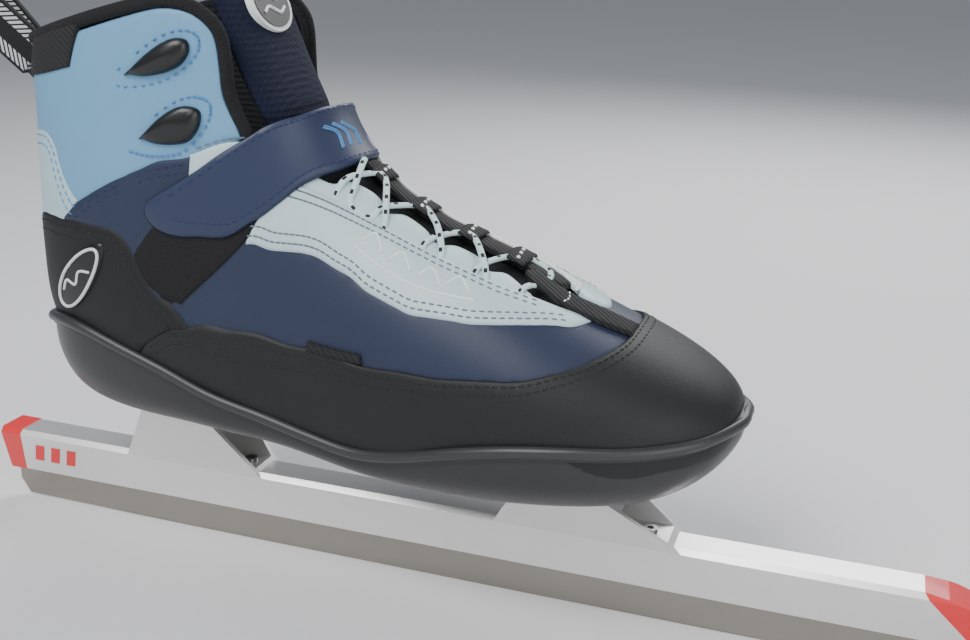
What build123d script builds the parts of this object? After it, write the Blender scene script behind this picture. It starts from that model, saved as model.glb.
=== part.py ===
"""Speed skate for the right foot: soft boot on a fixed blade, one STEP file per separate piece.

Frame (mm): x towards the toe, y towards the inner (medial) side, z up.
Origin: running edge of the blade at mid length.
"""
import os
from math import copysign, cos, hypot, pi, sin

from build123d import *

os.makedirs("parts", exist_ok=True)

# ------------------------------------------------------------------ driving dimensions
# blade unit
RUNNER_T = 1.2
RUNNER_REAR, RUNNER_FRONT = -204.4, 203.0
RUNNER_TOP = 21.5
ROCKER_R = 22000.0
TUBE_REAR, TUBE_FRONT = -203.8, 190.0
TUBE_Z0, TUBE_EDGE_Z, TUBE_TOP = 14.1, 32.1, 34.1
TUBE_Y0, TUBE_Y1, TUBE_PLATE_Y = 3.3, 7.5, 5.9
TUBE_WALL = 1.3
CUP_WALL, CUP_FLOOR, CUP_PLATE = 2.0, 1.5, 3.5
CUP_TOP_Y = 14.5
REAR_CUP = dict(base=(-142.0, -79.5), top=(-127.6, -101.2), z=59.0)
FRONT_CUP = dict(base=(18.0, 88.6), top=(29.0, 62.0), z=50.6)
REAR_BOLTS, FRONT_BOLTS = (-120.0, -109.0), (38.0, 53.0)
REAR_SCREWS, FRONT_SCREWS = (-134.0, -88.0), (24.0, 76.0)
BOLT_R, BOLT_HEAD_R, BOLT_HEAD_H = 2.5, 4.2, 2.6
SCREW_R, SCREW_HEAD_R, SCREW_HEAD_H = 1.5, 2.7, 1.4

# boot wall, outside to inside
PANEL_T, BACKING_T, LINING_T = 1.5, 1.5, 1.5
BOARD_T, FOOTBED_T = 2.5, 4.0
TAPE_T = 1.2
STRAP_GAP, HOOK_T, STRAP_T = 0.5, 0.8, 1.6
LACE_R = 1.2

# Sections of the boot, toe to shaft top.  Every section is a slice through the boot:
# sole-side point (x, z), top-side point (x, z), half widths lateral and medial,
# level of the widest place, roundness of the sole side and of the top side.
LAST = [
    (104.6, 84.0, 104.6, 87.0, 5.0, 5.5, 0.45, 2.4, 2.2),
    (102.5, 79.0, 102.5, 91.0, 13.0, 13.5, 0.45, 2.6, 2.2),
    (97.5, 74.0, 97.5, 95.8, 21.0, 22.0, 0.45, 2.8, 2.2),
    (88.0, 69.0, 88.0, 101.8, 29.5, 31.5, 0.42, 3.0, 2.2),
    (74.0, 64.0, 74.0, 108.6, 37.0, 39.0, 0.40, 3.0, 2.2),
    (56.0, 60.5, 56.0, 116.2, 42.0, 42.5, 0.38, 3.0, 2.2),
    (38.0, 58.0, 36.0, 125.2, 44.0, 42.5, 0.36, 3.0, 2.2),
    (18.0, 56.5, 16.0, 133.4, 43.2, 40.0, 0.34, 3.2, 2.2),
    (-4.0, 56.5, -4.0, 141.0, 41.0, 37.5, 0.31, 3.4, 2.2),
    (-30.0, 58.5, -22.5, 151.0, 37.5, 35.0, 0.29, 3.6, 2.2),
    (-58.0, 63.0, -35.5, 162.5, 35.0, 34.0, 0.28, 3.4, 2.3),
    (-88.0, 67.0, -43.5, 173.5, 35.0, 34.5, 0.31, 3.0, 2.4),
    (-118.0, 70.0, -47.5, 183.0, 35.5, 35.5, 0.35, 2.6, 2.5),
    (-143.0, 74.0, -49.0, 190.5, 36.0, 36.0, 0.40, 2.3, 2.5),
    (-160.0, 83.0, -49.5, 197.0, 36.0, 36.0, 0.45, 2.2, 2.5),
    (-167.0, 98.0, -50.0, 202.0, 36.0, 36.0, 0.47, 2.2, 2.5),
    (-168.0, 120.0, -50.0, 207.0, 36.0, 36.0, 0.48, 2.2, 2.5),
    (-167.5, 143.0, -50.0, 212.0, 36.0, 36.0, 0.49, 2.2, 2.5),
    (-166.5, 166.0, -50.0, 218.0, 36.0, 36.0, 0.50, 2.2, 2.5),
    (-166.0, 190.0, -50.5, 225.0, 36.0, 36.0, 0.50, 2.2, 2.5),
    (-166.0, 212.0, -51.0, 238.0, 36.0, 36.0, 0.50, 2.2, 2.5),
]

# Outsole, heel to toe: x, half width, rim height, bottom height, roundness
SOLE = [
    (-168.0, 6.0, 94.0, 87.0, 2.8), (-164.5, 16.5, 95.5, 78.5, 2.8), (-159.0, 23.0, 97.5, 70.0, 2.9),
    (-149.0, 29.5, 99.0, 62.5, 3.0), (-138.0, 32.8, 97.8, 59.5, 3.1), (-122.0, 34.5, 93.0, 58.0, 3.2),
    (-104.0, 35.0, 87.0, 57.3, 3.1), (-84.0, 34.5, 79.0, 56.6, 3.0), (-62.0, 34.6, 74.0, 55.6, 2.8),
    (-42.0, 36.4, 70.2, 53.4, 2.6), (-24.0, 38.8, 68.2, 50.8, 2.5), (-7.0, 41.8, 70.8, 49.3, 2.5),
    (13.0, 45.8, 77.0, 48.6, 2.5), (33.0, 47.4, 81.8, 49.0, 2.5), (52.0, 45.8, 84.0, 50.6, 2.5),
    (70.0, 41.0, 84.5, 53.4, 2.5), (84.0, 34.6, 85.4, 58.0, 2.5), (94.0, 26.8, 86.3, 64.0, 2.4),
    (101.0, 17.5, 87.4, 71.0, 2.4), (105.5, 8.0, 88.2, 79.0, 2.4),
]
LIP_H, LIP_STEP = 5.0, 1.2

# Panel edges seen from the side (x, z), heel to toe
TOE_EDGE = [(-118, 76), (-113.5, 90), (-104, 98.7), (-94, 103), (-73, 105), (-50, 103.4), (-20, 100.2),
            (10, 100), (37, 102.8), (54, 107), (62, 109.3), (66, 112), (68, 118)]
HEEL_EDGE = [(-180, 141), (-158, 140), (-141, 138.6), (-124, 138.8), (-115, 136), (-108, 128),
             (-100.5, 114.7), (-90.5, 105), (-84, 99)]
CUFF_EDGE = [(-180, 139), (-140, 140), (-134, 145.4), (-123, 151.6), (-105, 159.6), (-86, 165), (-76, 169),
             (-64, 173), (-50, 178)]
TENDON_EDGE = [(-180, 170), (-157, 170.8), (-149, 170.4), (-144.6, 168), (-141.6, 162), (-138, 153.5), (-134.4, 139)]
EYESTAY_LOW = [(-96, 166), (-84, 152), (-75, 142), (-66, 136.3), (-50, 133.8), (-36, 131.2), (-22, 124.3),
               (-10, 119), (4, 117.4), (36, 117.4), (48, 115.9), (54, 117), (58, 118)]
EYESTAY_UP = [(-80, 180), (-66, 171), (-46, 155.3), (-22, 144.2), (-7, 137.5), (8, 131.9), (22, 127.2),
              (36, 122.8), (48, 118.4), (58, 116)]

# Section numbers where pieces begin and end, and angles on the boot surface
TOE_SEAM, THROAT_FRONT, QUARTER, TOE_REAR, COUNTER_TOP, TENDON_TOP = 4.45, 5.15, 12.35, 12.2, 16.85, 18.1
CUFF_TOP, COLLAR_TOP, CUFF_BOTTOM = 18.95, 19.35, 14.6
CUFF_FRONT = [(12.0, 2.40), (13.4, 2.20), (14.5, 2.17), (16.5, 2.10), (17.6, 2.08), (18.4, 2.02), (18.95, 1.86)]
BIND_W, SEAM_GAP, LAYER_GAP = 0.10, 0.004, 0.15
THROAT_LATERAL_Y, THROAT_MEDIAL_Y = -14.0, 3.5
# section number, angle in degrees, half width
STRAP_PATH = [(14.0, 95, 6.0), (13.75, 98, 10.0), (13.2, 106, 11.8), (12.75, 113, 11.8), (12.3, 121, 11.6),
              (11.9, 131, 11.2), (11.55, 142, 10.8), (11.1, 155, 10.4), (10.75, 171, 10.0), (10.75, 187, 10.0),
              (11.1, 203, 10.0), (11.55, 217, 10.0), (11.95, 229, 10.0), (12.3, 239, 10.0)]
# section number, angle in degrees, lift over the boot surface
LACE_PATH = [(10.0, 152, 1.5), (9.98, 160, 1.5), (9.6, 171, 1.5), (9.4, 178, 1.5), (9.2, 175, 2.4), (9.0, 166, 4.0),
             (8.85, 158, 1.5), (8.1, 160, 1.5), (7.75, 173, 1.5), (7.5, 178, 1.5), (7.3, 173, 2.4), (7.1, 165, 4.0),
             (6.95, 160, 1.5), (6.35, 162, 1.5), (6.05, 170, 1.5), (6.05, 184, 1.5), (6.45, 186, 1.5), (6.7, 179, 1.5),
             (6.85, 172, 1.5), (7.1, 160, 1.3), (7.72, 159.4, 1.3), (7.95, 168, 4.0), (8.2, 175, 2.4), (8.45, 179, 1.5),
             (8.65, 172, 1.5), (9.05, 160, 1.3), (9.7, 157, 1.3), (9.75, 168, 4.4), (9.85, 174, 3.6)]
LACE_BEND = 1.6
MEDIAL_LOOPS = (6.6, 7.5, 8.45, 9.4)
TONGUE_PATH = [(-55.5, 171, 20), (-60, 180, 23), (-66, 192, 24), (-72, 206, 24), (-78, 220, 23), (-83.5, 234, 18), (-86, 240, 13)]
TONGUE_T = 7.0
HOOK_UPPER = [(-107, 193), (-101, 200), (-93, 205), (-87, 205), (-83.5, 201), (-84.5, 196.5), (-89, 194), (-98, 191.5)]
HOOK_LOWER = [(-103, 171.5), (-97, 178), (-90, 182.5), (-84.5, 182.5), (-81, 178.5), (-82, 174), (-86, 171), (-95, 169.5)]
PULL_ORIGIN, PULL_DIR, PULL_LENGTH, PULL_WIDTH = (-174.0, 0.0, 192.0), (-0.75, 0.0, 0.66), 38.0, 18.0


# ------------------------------------------------------------------ helpers
def save(name, shape):
    """Write one piece as parts/name.step."""
    if isinstance(shape, (list, ShapeList)):
        shape = Compound(children=list(shape))
    shape.label = name
    export_step(shape, f"parts/{name}.step")
    print(f"{name:26s} {shape.volume:10.1f} mm3")


def edge_height(edge, x):
    """Height of a side-view edge at x, straight between its points."""
    if x <= edge[0][0]:
        return edge[0][1]
    for (xa, za), (xb, zb) in zip(edge, edge[1:]):
        if x <= xb:
            return za + (zb - za) * (x - xa) / (xb - xa)
    return edge[-1][1]


def angle_at(s, above, low=0.02, high=pi - 0.02):
    """Angle on section s where the test above(point) turns true, going up the side."""
    a, b = low, high
    if above(last_point(s, a, 0)):
        return a
    if not above(last_point(s, b, 0)):
        return b
    for _ in range(30):
        mid = 0.5 * (a + b)
        if above(last_point(s, mid, 0)):
            b = mid
        else:
            a = mid
    return 0.5 * (a + b)


def over(edge):
    """Angle of a side-view edge as a function of the section number."""
    return lambda s: angle_at(s, lambda p: p.Z > edge_height(edge, p.X))


def inside(half):
    """Angle where the boot surface comes closer than half to the centre plane, over the top."""
    return lambda s: angle_at(s, lambda p: abs(p.Y) < half, low=pi / 2)


def table(rows):
    """Straight interpolation of (section, angle) rows."""
    return lambda s: edge_height(rows, s)


def stations(s0, s1):
    """Section numbers from s0 to s1 on a half-section grid."""
    grid = [k / 2 for k in range(0, 41) if s0 + 0.12 < k / 2 < s1 - 0.12]
    return [s0] + grid + [s1]


def strip(s0, s1, low, high, out, thick, count=9, rows=None):
    """Shell piece between two angles, running from section s0 to s1, outer face at out."""
    wires = []
    for s in rows or stations(s0, s1):
        a, b = low(s), high(s)
        number = max(count, int(abs(b - a) / 0.22))
        angles = [a + (b - a) * k / (number - 1) for k in range(number)]
        face = [last_point(s, v, out) for v in angles]
        back = [last_point(s, v, out - thick) for v in reversed(angles)]
        wires.append(Wire([
            Edge.make_spline(face), Edge.make_line(face[-1], back[0]),
            Edge.make_spline(back), Edge.make_line(back[-1], face[0]),
        ]))
    return Solid.make_loft(wires)


def mirrored(angle):
    """The same angle on the medial side."""
    return lambda s: 2 * pi - angle(s)


def both_sides(s0, s1, low, high, out, thick):
    """The same strip on the lateral and on the medial side."""
    return [strip(s0, s1, low, high, out, thick), strip(s0, s1, mirrored(high), mirrored(low), out, thick)]


def around(s0, s1, reach, out, thick):
    """Strip that passes under the sole or round the back, from -reach to +reach."""
    return strip(s0, s1, lambda s: -reach(s), reach, out, thick, count=19)


def biggest(shape, keep=1):
    """The largest solids of a cut, without slivers."""
    solids = sorted(shape.solids(), key=lambda item: item.volume, reverse=True)
    return solids[0] if keep == 1 else Compound(children=solids[:keep])


def blend(rows, s):
    """Smooth curve through the rows of a table."""
    last = len(rows) - 1
    i = min(int(s), last - 1)
    t = s - i
    p0, p1, p2, p3 = rows[max(i - 1, 0)], rows[i], rows[i + 1], rows[min(i + 2, last)]
    return [
        0.5 * (2 * b + (c - a) * t + (2 * a - 5 * b + 4 * c - d) * t * t + (3 * b - a - 3 * c + d) * t**3)
        for a, b, c, d in zip(p0, p1, p2, p3)
    ]


def last_point(s, v, off):
    """Point of the boot surface: section s, angle v from the sole over the lateral side."""
    bx, bz, tx, tz, lateral, medial, frac, n_sole, n_top = blend(LAST, s)
    length = hypot(tx - bx, tz - bz)
    ux, uz = (tx - bx) / length, (tz - bz) / length
    c, d = cos(v), sin(v)
    n = n_sole if c > 0 else n_top
    reach = (frac if c > 0 else 1 - frac) * length + off
    along = frac * length - copysign(reach * abs(c) ** (2 / n), c)
    across = -copysign(((lateral if d > 0 else medial) + off) * abs(d) ** (2 / n), d)
    return Vector(bx + ux * along, across, bz + uz * along)


def last_solid(off, start=0.0):
    """Solid inside the boot surface moved outwards by off."""
    end = len(LAST) - 1
    count = 21
    wires = []
    for k in range(count):
        s = start + (end - start) * k / (count - 1)
        points = [last_point(s, 2 * pi * j / 28, off) for j in range(28)]
        wires.append(Wire([Edge.make_spline(points, periodic=True)]))
    return Solid.make_loft(wires)


def sole_section(row):
    x, half, rim, low, n = row
    wall = half - LIP_STEP
    top = rim - LIP_H
    steps = 9
    curve = []
    for k in range(2 * steps + 1):
        a = pi * k / (2 * steps)
        y = -wall * copysign(abs(cos(a)) ** (2 / n), cos(a))
        curve.append(Vector(x, y, top - (top - low) * abs(sin(a)) ** (2 / n)))
    corners = [(half, top), (half, rim), (-half, rim), (-half, top)]
    edges = [Edge.make_spline(curve)]
    loop = [curve[-1]] + [Vector(x, y, z) for y, z in corners] + [curve[0]]
    edges += [Edge.make_line(a, b) for a, b in zip(loop, loop[1:])]
    return Wire(edges)


def prism(edge, closing, y0, y1, smooth=True):
    """Side-view outline pulled from y0 to y1: a curve followed by straight closing points."""
    curve = [Vector(x, y0, z) for x, z in edge]
    rest = [Vector(x, y0, z) for x, z in closing]
    edges = [Edge.make_spline(curve)] if smooth else [Edge.make_line(a, b) for a, b in zip(curve, curve[1:])]
    loop = [curve[-1]] + rest + [curve[0]]
    edges += [Edge.make_line(a, b) for a, b in zip(loop, loop[1:])]
    return Solid.extrude(Face(Wire(edges)), Vector(0, y1 - y0, 0))


def lengthwise(section, x0, x1):
    """Section (y, z) pulled along the blade."""
    face = Face(Wire.make_polygon([Vector(x0, y, z) for y, z in section], close=True))
    return Solid.extrude(face, Vector(x1 - x0, 0, 0))


def box_between(x0, x1, y0, y1, z0, z1):
    return Pos((x0 + x1) / 2, (y0 + y1) / 2, (z0 + z1) / 2) * Box(x1 - x0, y1 - y0, z1 - z0)


def post(x, y, z0, z1, r):
    return Pos(x, y, (z0 + z1) / 2) * Cylinder(r, z1 - z0)


def symmetric(half):
    """Closed section from its right half."""
    return half + [(-y, z) for y, z in reversed(half)]


# ------------------------------------------------------------------ blade unit
def build_runner():
    rise = 0.5 * RUNNER_FRONT**2 / ROCKER_R
    y0 = -RUNNER_T / 2
    points = [(RUNNER_REAR, RUNNER_TOP), (RUNNER_REAR, 7.5), (-200.3, rise)]
    outline = [Vector(x, y0, z) for x, z in points]
    start = outline[-1]
    front_low = Vector(188.0, y0, rise)
    nose = Vector(RUNNER_FRONT, y0, 13.0)
    edges = [Edge.make_line(a, b) for a, b in zip(outline, outline[1:])]
    edges.append(Edge.make_three_point_arc(start, Vector(0, y0, 0), front_low))
    edges.append(Edge.make_three_point_arc(front_low, Vector(198.6, y0, 4.9), nose))
    edges.append(Edge.make_line(nose, Vector(192.0, y0, RUNNER_TOP)))
    edges.append(Edge.make_line(Vector(192.0, y0, RUNNER_TOP), outline[0]))
    return Solid.extrude(Face(Wire(edges)), Vector(0, RUNNER_T, 0))


TUBE_HALF = [(TUBE_Y0, TUBE_Z0), (TUBE_Y1, TUBE_EDGE_Z), (TUBE_PLATE_Y, TUBE_TOP)]
RAKE = [(171.7, 32.1), (189.0, 14.1), (189.0, 5.0), (230.0, 5.0), (230.0, 40.0), (170.2, 40.0), (170.2, 34.1)]


def build_tube(outer, runner):
    hollow = symmetric([(4.4, 24.5), (6.1, 31.6), (5.3, 32.8)])
    tube = outer - lengthwise(hollow, TUBE_REAR - 1, TUBE_FRONT + 1)
    tube = tube - prism(RAKE[:2], RAKE[2:], -20, 20, smooth=False) - runner
    for x in REAR_SCREWS + FRONT_SCREWS:
        tube = tube - post(x, 0, 32, 35, SCREW_R)
    return tube


def build_front_cap(outer_long, runner):
    nose = [(189.0, 14.1), (171.7, 32.1), (170.2, 34.1), (178.0, 33.1), (186.0, 30.6), (193.5, 26.2), (199.5, 20.2), (203.0, 14.1)]
    body = outer_long & prism(nose, [], -20, 20, smooth=False)
    plug = box_between(160, 180, -3.6, 3.6, 25.4, 31.0)
    return biggest(body + (plug - prism(nose, [], -20, 20, smooth=False)) - runner)


def build_rear_cap():
    plate = lengthwise(symmetric([(TUBE_Y0, TUBE_Z0), (TUBE_Y1, TUBE_EDGE_Z), (TUBE_PLATE_Y, TUBE_TOP)]), TUBE_REAR - 2.2, TUBE_REAR)
    plug = box_between(TUBE_REAR - 1, TUBE_REAR + 9, -3.6, 3.6, 25.4, 31.0)
    return plate + plug - box_between(-215, -203, -1, 1, 10, 14.1)


def hexahedron(base, top, base_y, top_y, z0, z1):
    corners = []
    for (x0, x1), y, z in ((base, base_y, z0), (top, top_y, z1)):
        corners.append(Wire.make_polygon([Vector(x, s * y, z) for x, s in ((x0, -1), (x1, -1), (x1, 1), (x0, 1))], close=True))
    return Solid.make_loft(corners, True)


def build_cup(spec, tube_outer, bolts, screws):
    """Flared bracket: two side walls, floor and sole plate, open at both ends."""
    z0, z1 = TUBE_EDGE_Z, spec["z"]
    slope = (CUP_TOP_Y - TUBE_Y1) / (z1 - z0)
    cup = hexahedron(spec["base"], spec["top"], TUBE_Y1, CUP_TOP_Y, z0, z1)
    low, high = TUBE_TOP + CUP_FLOOR, z1 - CUP_PLATE
    span = (spec["base"][0] - 5, spec["base"][1] + 5)
    inner = [TUBE_Y1 + slope * (z - z0) - CUP_WALL for z in (low, high)]
    cup = cup - hexahedron(span, span, inner[0], inner[1], low, high) - tube_outer
    for x in bolts:
        cup = cup - post(x, 0, high - 1, z1 + 1, BOLT_R)
    for x in screws:
        cup = cup - post(x, 0, TUBE_TOP - 1, low + 1, SCREW_R)
    return biggest(cup)


def build_bolt(x, seat, top):
    head = post(x, 0, seat - BOLT_HEAD_H, seat, BOLT_HEAD_R) - Pos(x, 0, seat - BOLT_HEAD_H + 0.7) * extrude(
        RegularPolygon(2.0, 6), 1.8, both=True)
    return head + post(x, 0, seat, top, BOLT_R)


def build_screw(x):
    seat = TUBE_TOP + CUP_FLOOR
    head = post(x, 0, seat, seat + SCREW_HEAD_H, SCREW_HEAD_R) - post(x, 0, seat + 0.6, seat + 3, 1.2)
    return head + post(x, 0, 31.0, seat, SCREW_R)


print("blade unit")
runner = build_runner()
tube_outer = lengthwise(symmetric(TUBE_HALF), TUBE_REAR, TUBE_FRONT)
outer_long = lengthwise(symmetric(TUBE_HALF), 150, 210)
tube = build_tube(tube_outer, runner)
save("runner_blade", runner)
save("blade_tube", tube)
save("front_tube_cap", build_front_cap(outer_long, runner))
save("rear_tube_cap", build_rear_cap() - runner)
cups = {}
for label, spec, bolts, screws in (("rear", REAR_CUP, REAR_BOLTS, REAR_SCREWS), ("front", FRONT_CUP, FRONT_BOLTS, FRONT_SCREWS)):
    cups[label] = build_cup(spec, tube_outer, bolts, screws)
    save(f"{label}_cup", cups[label])
    for n, x in enumerate(bolts, 1):
        save(f"{label}_cup_bolt_{n}", build_bolt(x, spec["z"] - CUP_PLATE, spec["z"] + 6.0))
    for n, x in enumerate(screws, 1):
        save(f"{label}_tube_screw_{n}", build_screw(x))


# ------------------------------------------------------------------ outsole, boards, thread plates
print("sole")
opening = last_solid(0.3)
inner_last = last_solid(-PANEL_T - BACKING_T - LINING_T - 0.1, 1.5)
sole_body = Solid.make_loft([sole_section(row) for row in SOLE])
outsole = sole_body - opening
for label, spec, bolts in (("rear", REAR_CUP, REAR_BOLTS), ("front", FRONT_CUP, FRONT_BOLTS)):
    mid, z = sum(bolts) / 2, spec["z"]
    plate = box_between(mid - 14, mid + 14, -9, 9, z + 2.0, z + 5.0)
    outsole = outsole - plate - hexahedron(spec["base"], spec["top"], TUBE_Y1, CUP_TOP_Y, TUBE_EDGE_Z, z)
    for x in bolts:
        plate = plate - post(x, 0, z, z + 8, BOLT_R)
        outsole = outsole - post(x, 0, z - 4, z + 6.0, BOLT_R)
    save(f"{label}_thread_plate", plate)
save("outsole", biggest(outsole))

FOOT_LINE = [(-185.0, 92.0)] + [(row[0], row[1]) for row in reversed(LAST[1:15])] + [(120.0, 88.0)]


def below_line(rise):
    """Side-view block below the foot line raised by rise."""
    line = [(x, z + rise) for x, z in FOOT_LINE]
    return prism(line, [(120.0, 20.0), (-185.0, 20.0)], -60, 60, smooth=False)


wall = PANEL_T + BACKING_T + LINING_T
board_zone = below_line(wall + BOARD_T)
bed_zone = below_line(wall + BOARD_T + FOOTBED_T)
save("insole_board", biggest(inner_last & board_zone))
save("footbed", biggest((inner_last & bed_zone) - board_zone))

# ------------------------------------------------------------------ panels of the outer layer
print("panels")
toe_up, heel_up, cuff_low, tendon_up = over(TOE_EDGE), over(HEEL_EDGE), over(CUFF_EDGE), over(TENDON_EDGE)
eye_low, eye_up = over(EYESTAY_LOW), over(EYESTAY_UP)
cuff_front = table(CUFF_FRONT)
throat_lateral, throat_medial = inside(-THROAT_LATERAL_Y), mirrored(inside(THROAT_MEDIAL_Y))
skin = PANEL_T - LAYER_GAP


def shifted(angle, step):
    return lambda s: angle(s) + step


save("toe_panel", [around(0.0, TOE_SEAM - 0.07, lambda s: pi - 0.01, 0, skin),
                   around(TOE_SEAM - 0.06, TOE_REAR, lambda s: toe_up(s) - SEAM_GAP, 0, skin)])
save("heel_panel", around(TOE_REAR + 0.01, COUNTER_TOP - 0.1, lambda s: heel_up(s) - SEAM_GAP, 0, skin))
save("tendon_panel", around(COUNTER_TOP, TENDON_TOP - 0.1, lambda s: tendon_up(s) - SEAM_GAP, 0, skin))


def cuff_start(s):
    """Lower edge of the cuff side: the ankle band, or the tendon panel further back."""
    return max(cuff_low(s), tendon_up(s) if s > COUNTER_TOP - 0.2 else 0.0) + SEAM_GAP


cuff = both_sides(CUFF_BOTTOM, TENDON_TOP, cuff_start, shifted(cuff_front, -SEAM_GAP), 0, skin)
cuff.append(around(TENDON_TOP, CUFF_TOP, shifted(cuff_front, -SEAM_GAP), 0, skin))
save("cuff_panel", cuff)
binding = both_sides(CUFF_BOTTOM - 1.1, CUFF_TOP + 0.02, cuff_front, shifted(cuff_front, BIND_W), 0, skin)
binding.append(around(CUFF_TOP + 0.02, COLLAR_TOP, lambda s: cuff_front(CUFF_TOP) + BIND_W - 0.25 * (s - CUFF_TOP), 0, skin))
save("collar_binding", binding)


def ankle_end(s):
    """Upper edge of the ankle band: the cuff, or the throat edge in front of it."""
    return min(cuff_low(s), cuff_front(s)) - SEAM_GAP


bands = both_sides(QUARTER + 0.02, 15.6, shifted(heel_up, SEAM_GAP), ankle_end, 0, skin)
save("ankle_band_lateral", bands[0])
save("ankle_band_medial", bands[1])
vamp = both_sides(THROAT_FRONT + 0.01, QUARTER, shifted(toe_up, SEAM_GAP), shifted(eye_low, -SEAM_GAP), 0, skin)
vamp.append(strip(TOE_SEAM + 0.05, THROAT_FRONT, shifted(toe_up, SEAM_GAP), mirrored(shifted(toe_up, SEAM_GAP)), 0, skin, count=15))
save("vamp_panel", vamp)
stays = both_sides(THROAT_FRONT + 0.06, QUARTER, eye_low, shifted(eye_up, -SEAM_GAP), 0, skin)
save("eyestay_lateral", stays[0])
save("eyestay_medial", stays[1])
save("lace_facing_lateral", strip(6.05, 10.6, eye_up, throat_lateral, 0, skin))
save("lace_facing_medial", strip(6.05, 10.6, throat_medial, mirrored(eye_up), 0, skin))

# ------------------------------------------------------------------ backing pieces and lining
print("backing")
back_out = -PANEL_T
back_skin = BACKING_T - LAYER_GAP
line_out = -PANEL_T - BACKING_T
inner_throat = inside(24.0)


def throat_reach(s):
    """Reach of the inner layers: closed over the toe, open at the throat."""
    if s < 5.4:
        return pi - 0.004
    return min(inner_throat(s), cuff_front(s) + BIND_W if s > 12.0 else pi)


save("toe_box_stiffener", around(1.0, 5.3, lambda s: pi - 0.004, back_out, back_skin))
save("vamp_backing", around(5.6, QUARTER, throat_reach, back_out, back_skin))
save("heel_counter", around(QUARTER + 0.02, 16.3, lambda s: 1.72 - 0.12 * (s - QUARTER), back_out, back_skin))
foam = both_sides(QUARTER + 0.02, 16.32, lambda s: 1.74 - 0.12 * (s - QUARTER), throat_reach, back_out, back_skin)
foam.append(around(16.32, COLLAR_TOP, throat_reach, back_out, back_skin))
save("ankle_foam", foam)
lining = [around(1.5, 5.4, lambda s: pi - 0.01, line_out, LINING_T - LAYER_GAP)]
for s0, s1, creases in ((5.41, 8.5, [1.0]), (8.51, 12.2, [1.0]), (12.21, 14.2, [0.6, 1.3]),
                        (14.21, 16.3, [0.6, 1.3]), (16.31, COLLAR_TOP, [0.6, 1.3])):
    skin_facts = (line_out, LINING_T - LAYER_GAP)
    lining.append(around(s0, s1, lambda s, edge=creases[0]: edge, *skin_facts))
    for low_edge, high_edge in zip(creases, creases[1:]):
        lining += both_sides(s0, s1, lambda s, e=low_edge: e + SEAM_GAP, lambda s, e=high_edge: e, *skin_facts)
    lining += both_sides(s0, s1, lambda s, e=creases[-1]: e + SEAM_GAP, lambda s: throat_reach(max(s, 5.6)), *skin_facts)
save("lining", lining)

# ------------------------------------------------------------------ pieces on the outside of the boot
print("outside")
near, deg = 0.15, pi / 180
skin_clear = last_solid(near)


def normal_at(s, v, off):
    """Outward direction of the boot surface."""
    along = last_point(min(s + 0.05, 20.0), v, off) - last_point(s - 0.05, v, off)
    round_ = last_point(s, v + 0.02, off) - last_point(s, v - 0.02, off)
    n = along.cross(round_).normalized()
    outwards = last_point(s, v, off + 1) - last_point(s, v, off)
    return n if n.dot(outwards) > 0 else n * -1


def band(points, normals, halves, thick):
    """Flat webbing or leather band along points, each section a rectangle."""
    wires = []
    for k, (centre, n, half) in enumerate(zip(points, normals, halves)):
        tangent = (points[min(k + 1, len(points) - 1)] - points[max(k - 1, 0)]).normalized()
        n = (n - tangent * n.dot(tangent)).normalized()
        w = tangent.cross(n) * half
        t = n * (thick / 2)
        wires.append(Wire.make_polygon([centre - w - t, centre + w - t, centre + w + t, centre - w + t], close=True))
    return Solid.make_loft(wires), w.normalized(), points[-1]


def boot_band(path, off, thick):
    points = [last_point(s, v * deg, off + thick / 2) for s, v, _ in path]
    normals = [normal_at(s, v * deg, off) for s, v, _ in path]
    return band(points, normals, [half for _, _, half in path], thick)


strap_off = near + TAPE_T + STRAP_GAP + HOOK_T
strap, hinge_dir, hinge_at = boot_band(STRAP_PATH, strap_off, STRAP_T)
hook_patch, _, _ = boot_band([(s, v, h - 2.0) for s, v, h in STRAP_PATH[:5]], strap_off - HOOK_T, HOOK_T - 0.02)
save("instep_strap", strap)
save("strap_hook_patch", hook_patch)
print("strap hinge", hinge_at, hinge_dir)
patch_low, patch_high = table([(11.4, 115 * deg), (12.0, 92 * deg), (13.4, 91 * deg)]), lambda s: 2.05
save("loop_patch", strip(11.5, 13.4, patch_low, patch_high, near + TAPE_T, TAPE_T))
save("strap_anchor", strip(12.1, 13.0, lambda s: 238 * deg, lambda s: 262 * deg, near + TAPE_T, TAPE_T))

tongue_points = [Vector(x, 0, z) for x, z, _ in TONGUE_PATH]
tongue_normals = [Vector(0.9, 0, 0.43)] * len(tongue_points)
tongue, _, _ = band(tongue_points, tongue_normals, [half for _, _, half in TONGUE_PATH], TONGUE_T)
save("tongue_upper", tongue)
badge_at = Plane(origin=Vector(-75.2, 0, 213.6), x_dir=(0, 1, 0), z_dir=(0.92, 0, 0.392))
badge = extrude(badge_at * Ellipse(13.5, 11.0), 4.0) - tongue
save("tongue_badge", biggest(badge & extrude(badge_at.offset(-6) * Ellipse(13.5, 11.0), 10.6)))
save("tongue_lower", strip(6.0, 10.4, lambda s: 148 * deg, lambda s: 206 * deg, -4.8, 3.0, count=11))


def build_hook(outline):
    """Teardrop lace hook: cap held off the boot by a stem."""
    cx = sum(x for x, _ in outline) / len(outline) + 3
    cz = sum(z for _, z in outline) / len(outline) + 1
    cap_wire = Wire([Edge.make_spline([Vector(x, -39.4, z) for x, z in outline], periodic=True)])
    cap = Solid.extrude(Face(cap_wire), Vector(0, -3.6, 0))
    stem = Pos(cx, -36.5, cz) * Rot(90, 0, 0) * Cylinder(4.2, 7)
    foot = Pos(cx, -35.5, cz) * Rot(90, 0, 0) * Cylinder(6.2, 3)
    return biggest(cap + stem + foot - skin_clear)


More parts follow.
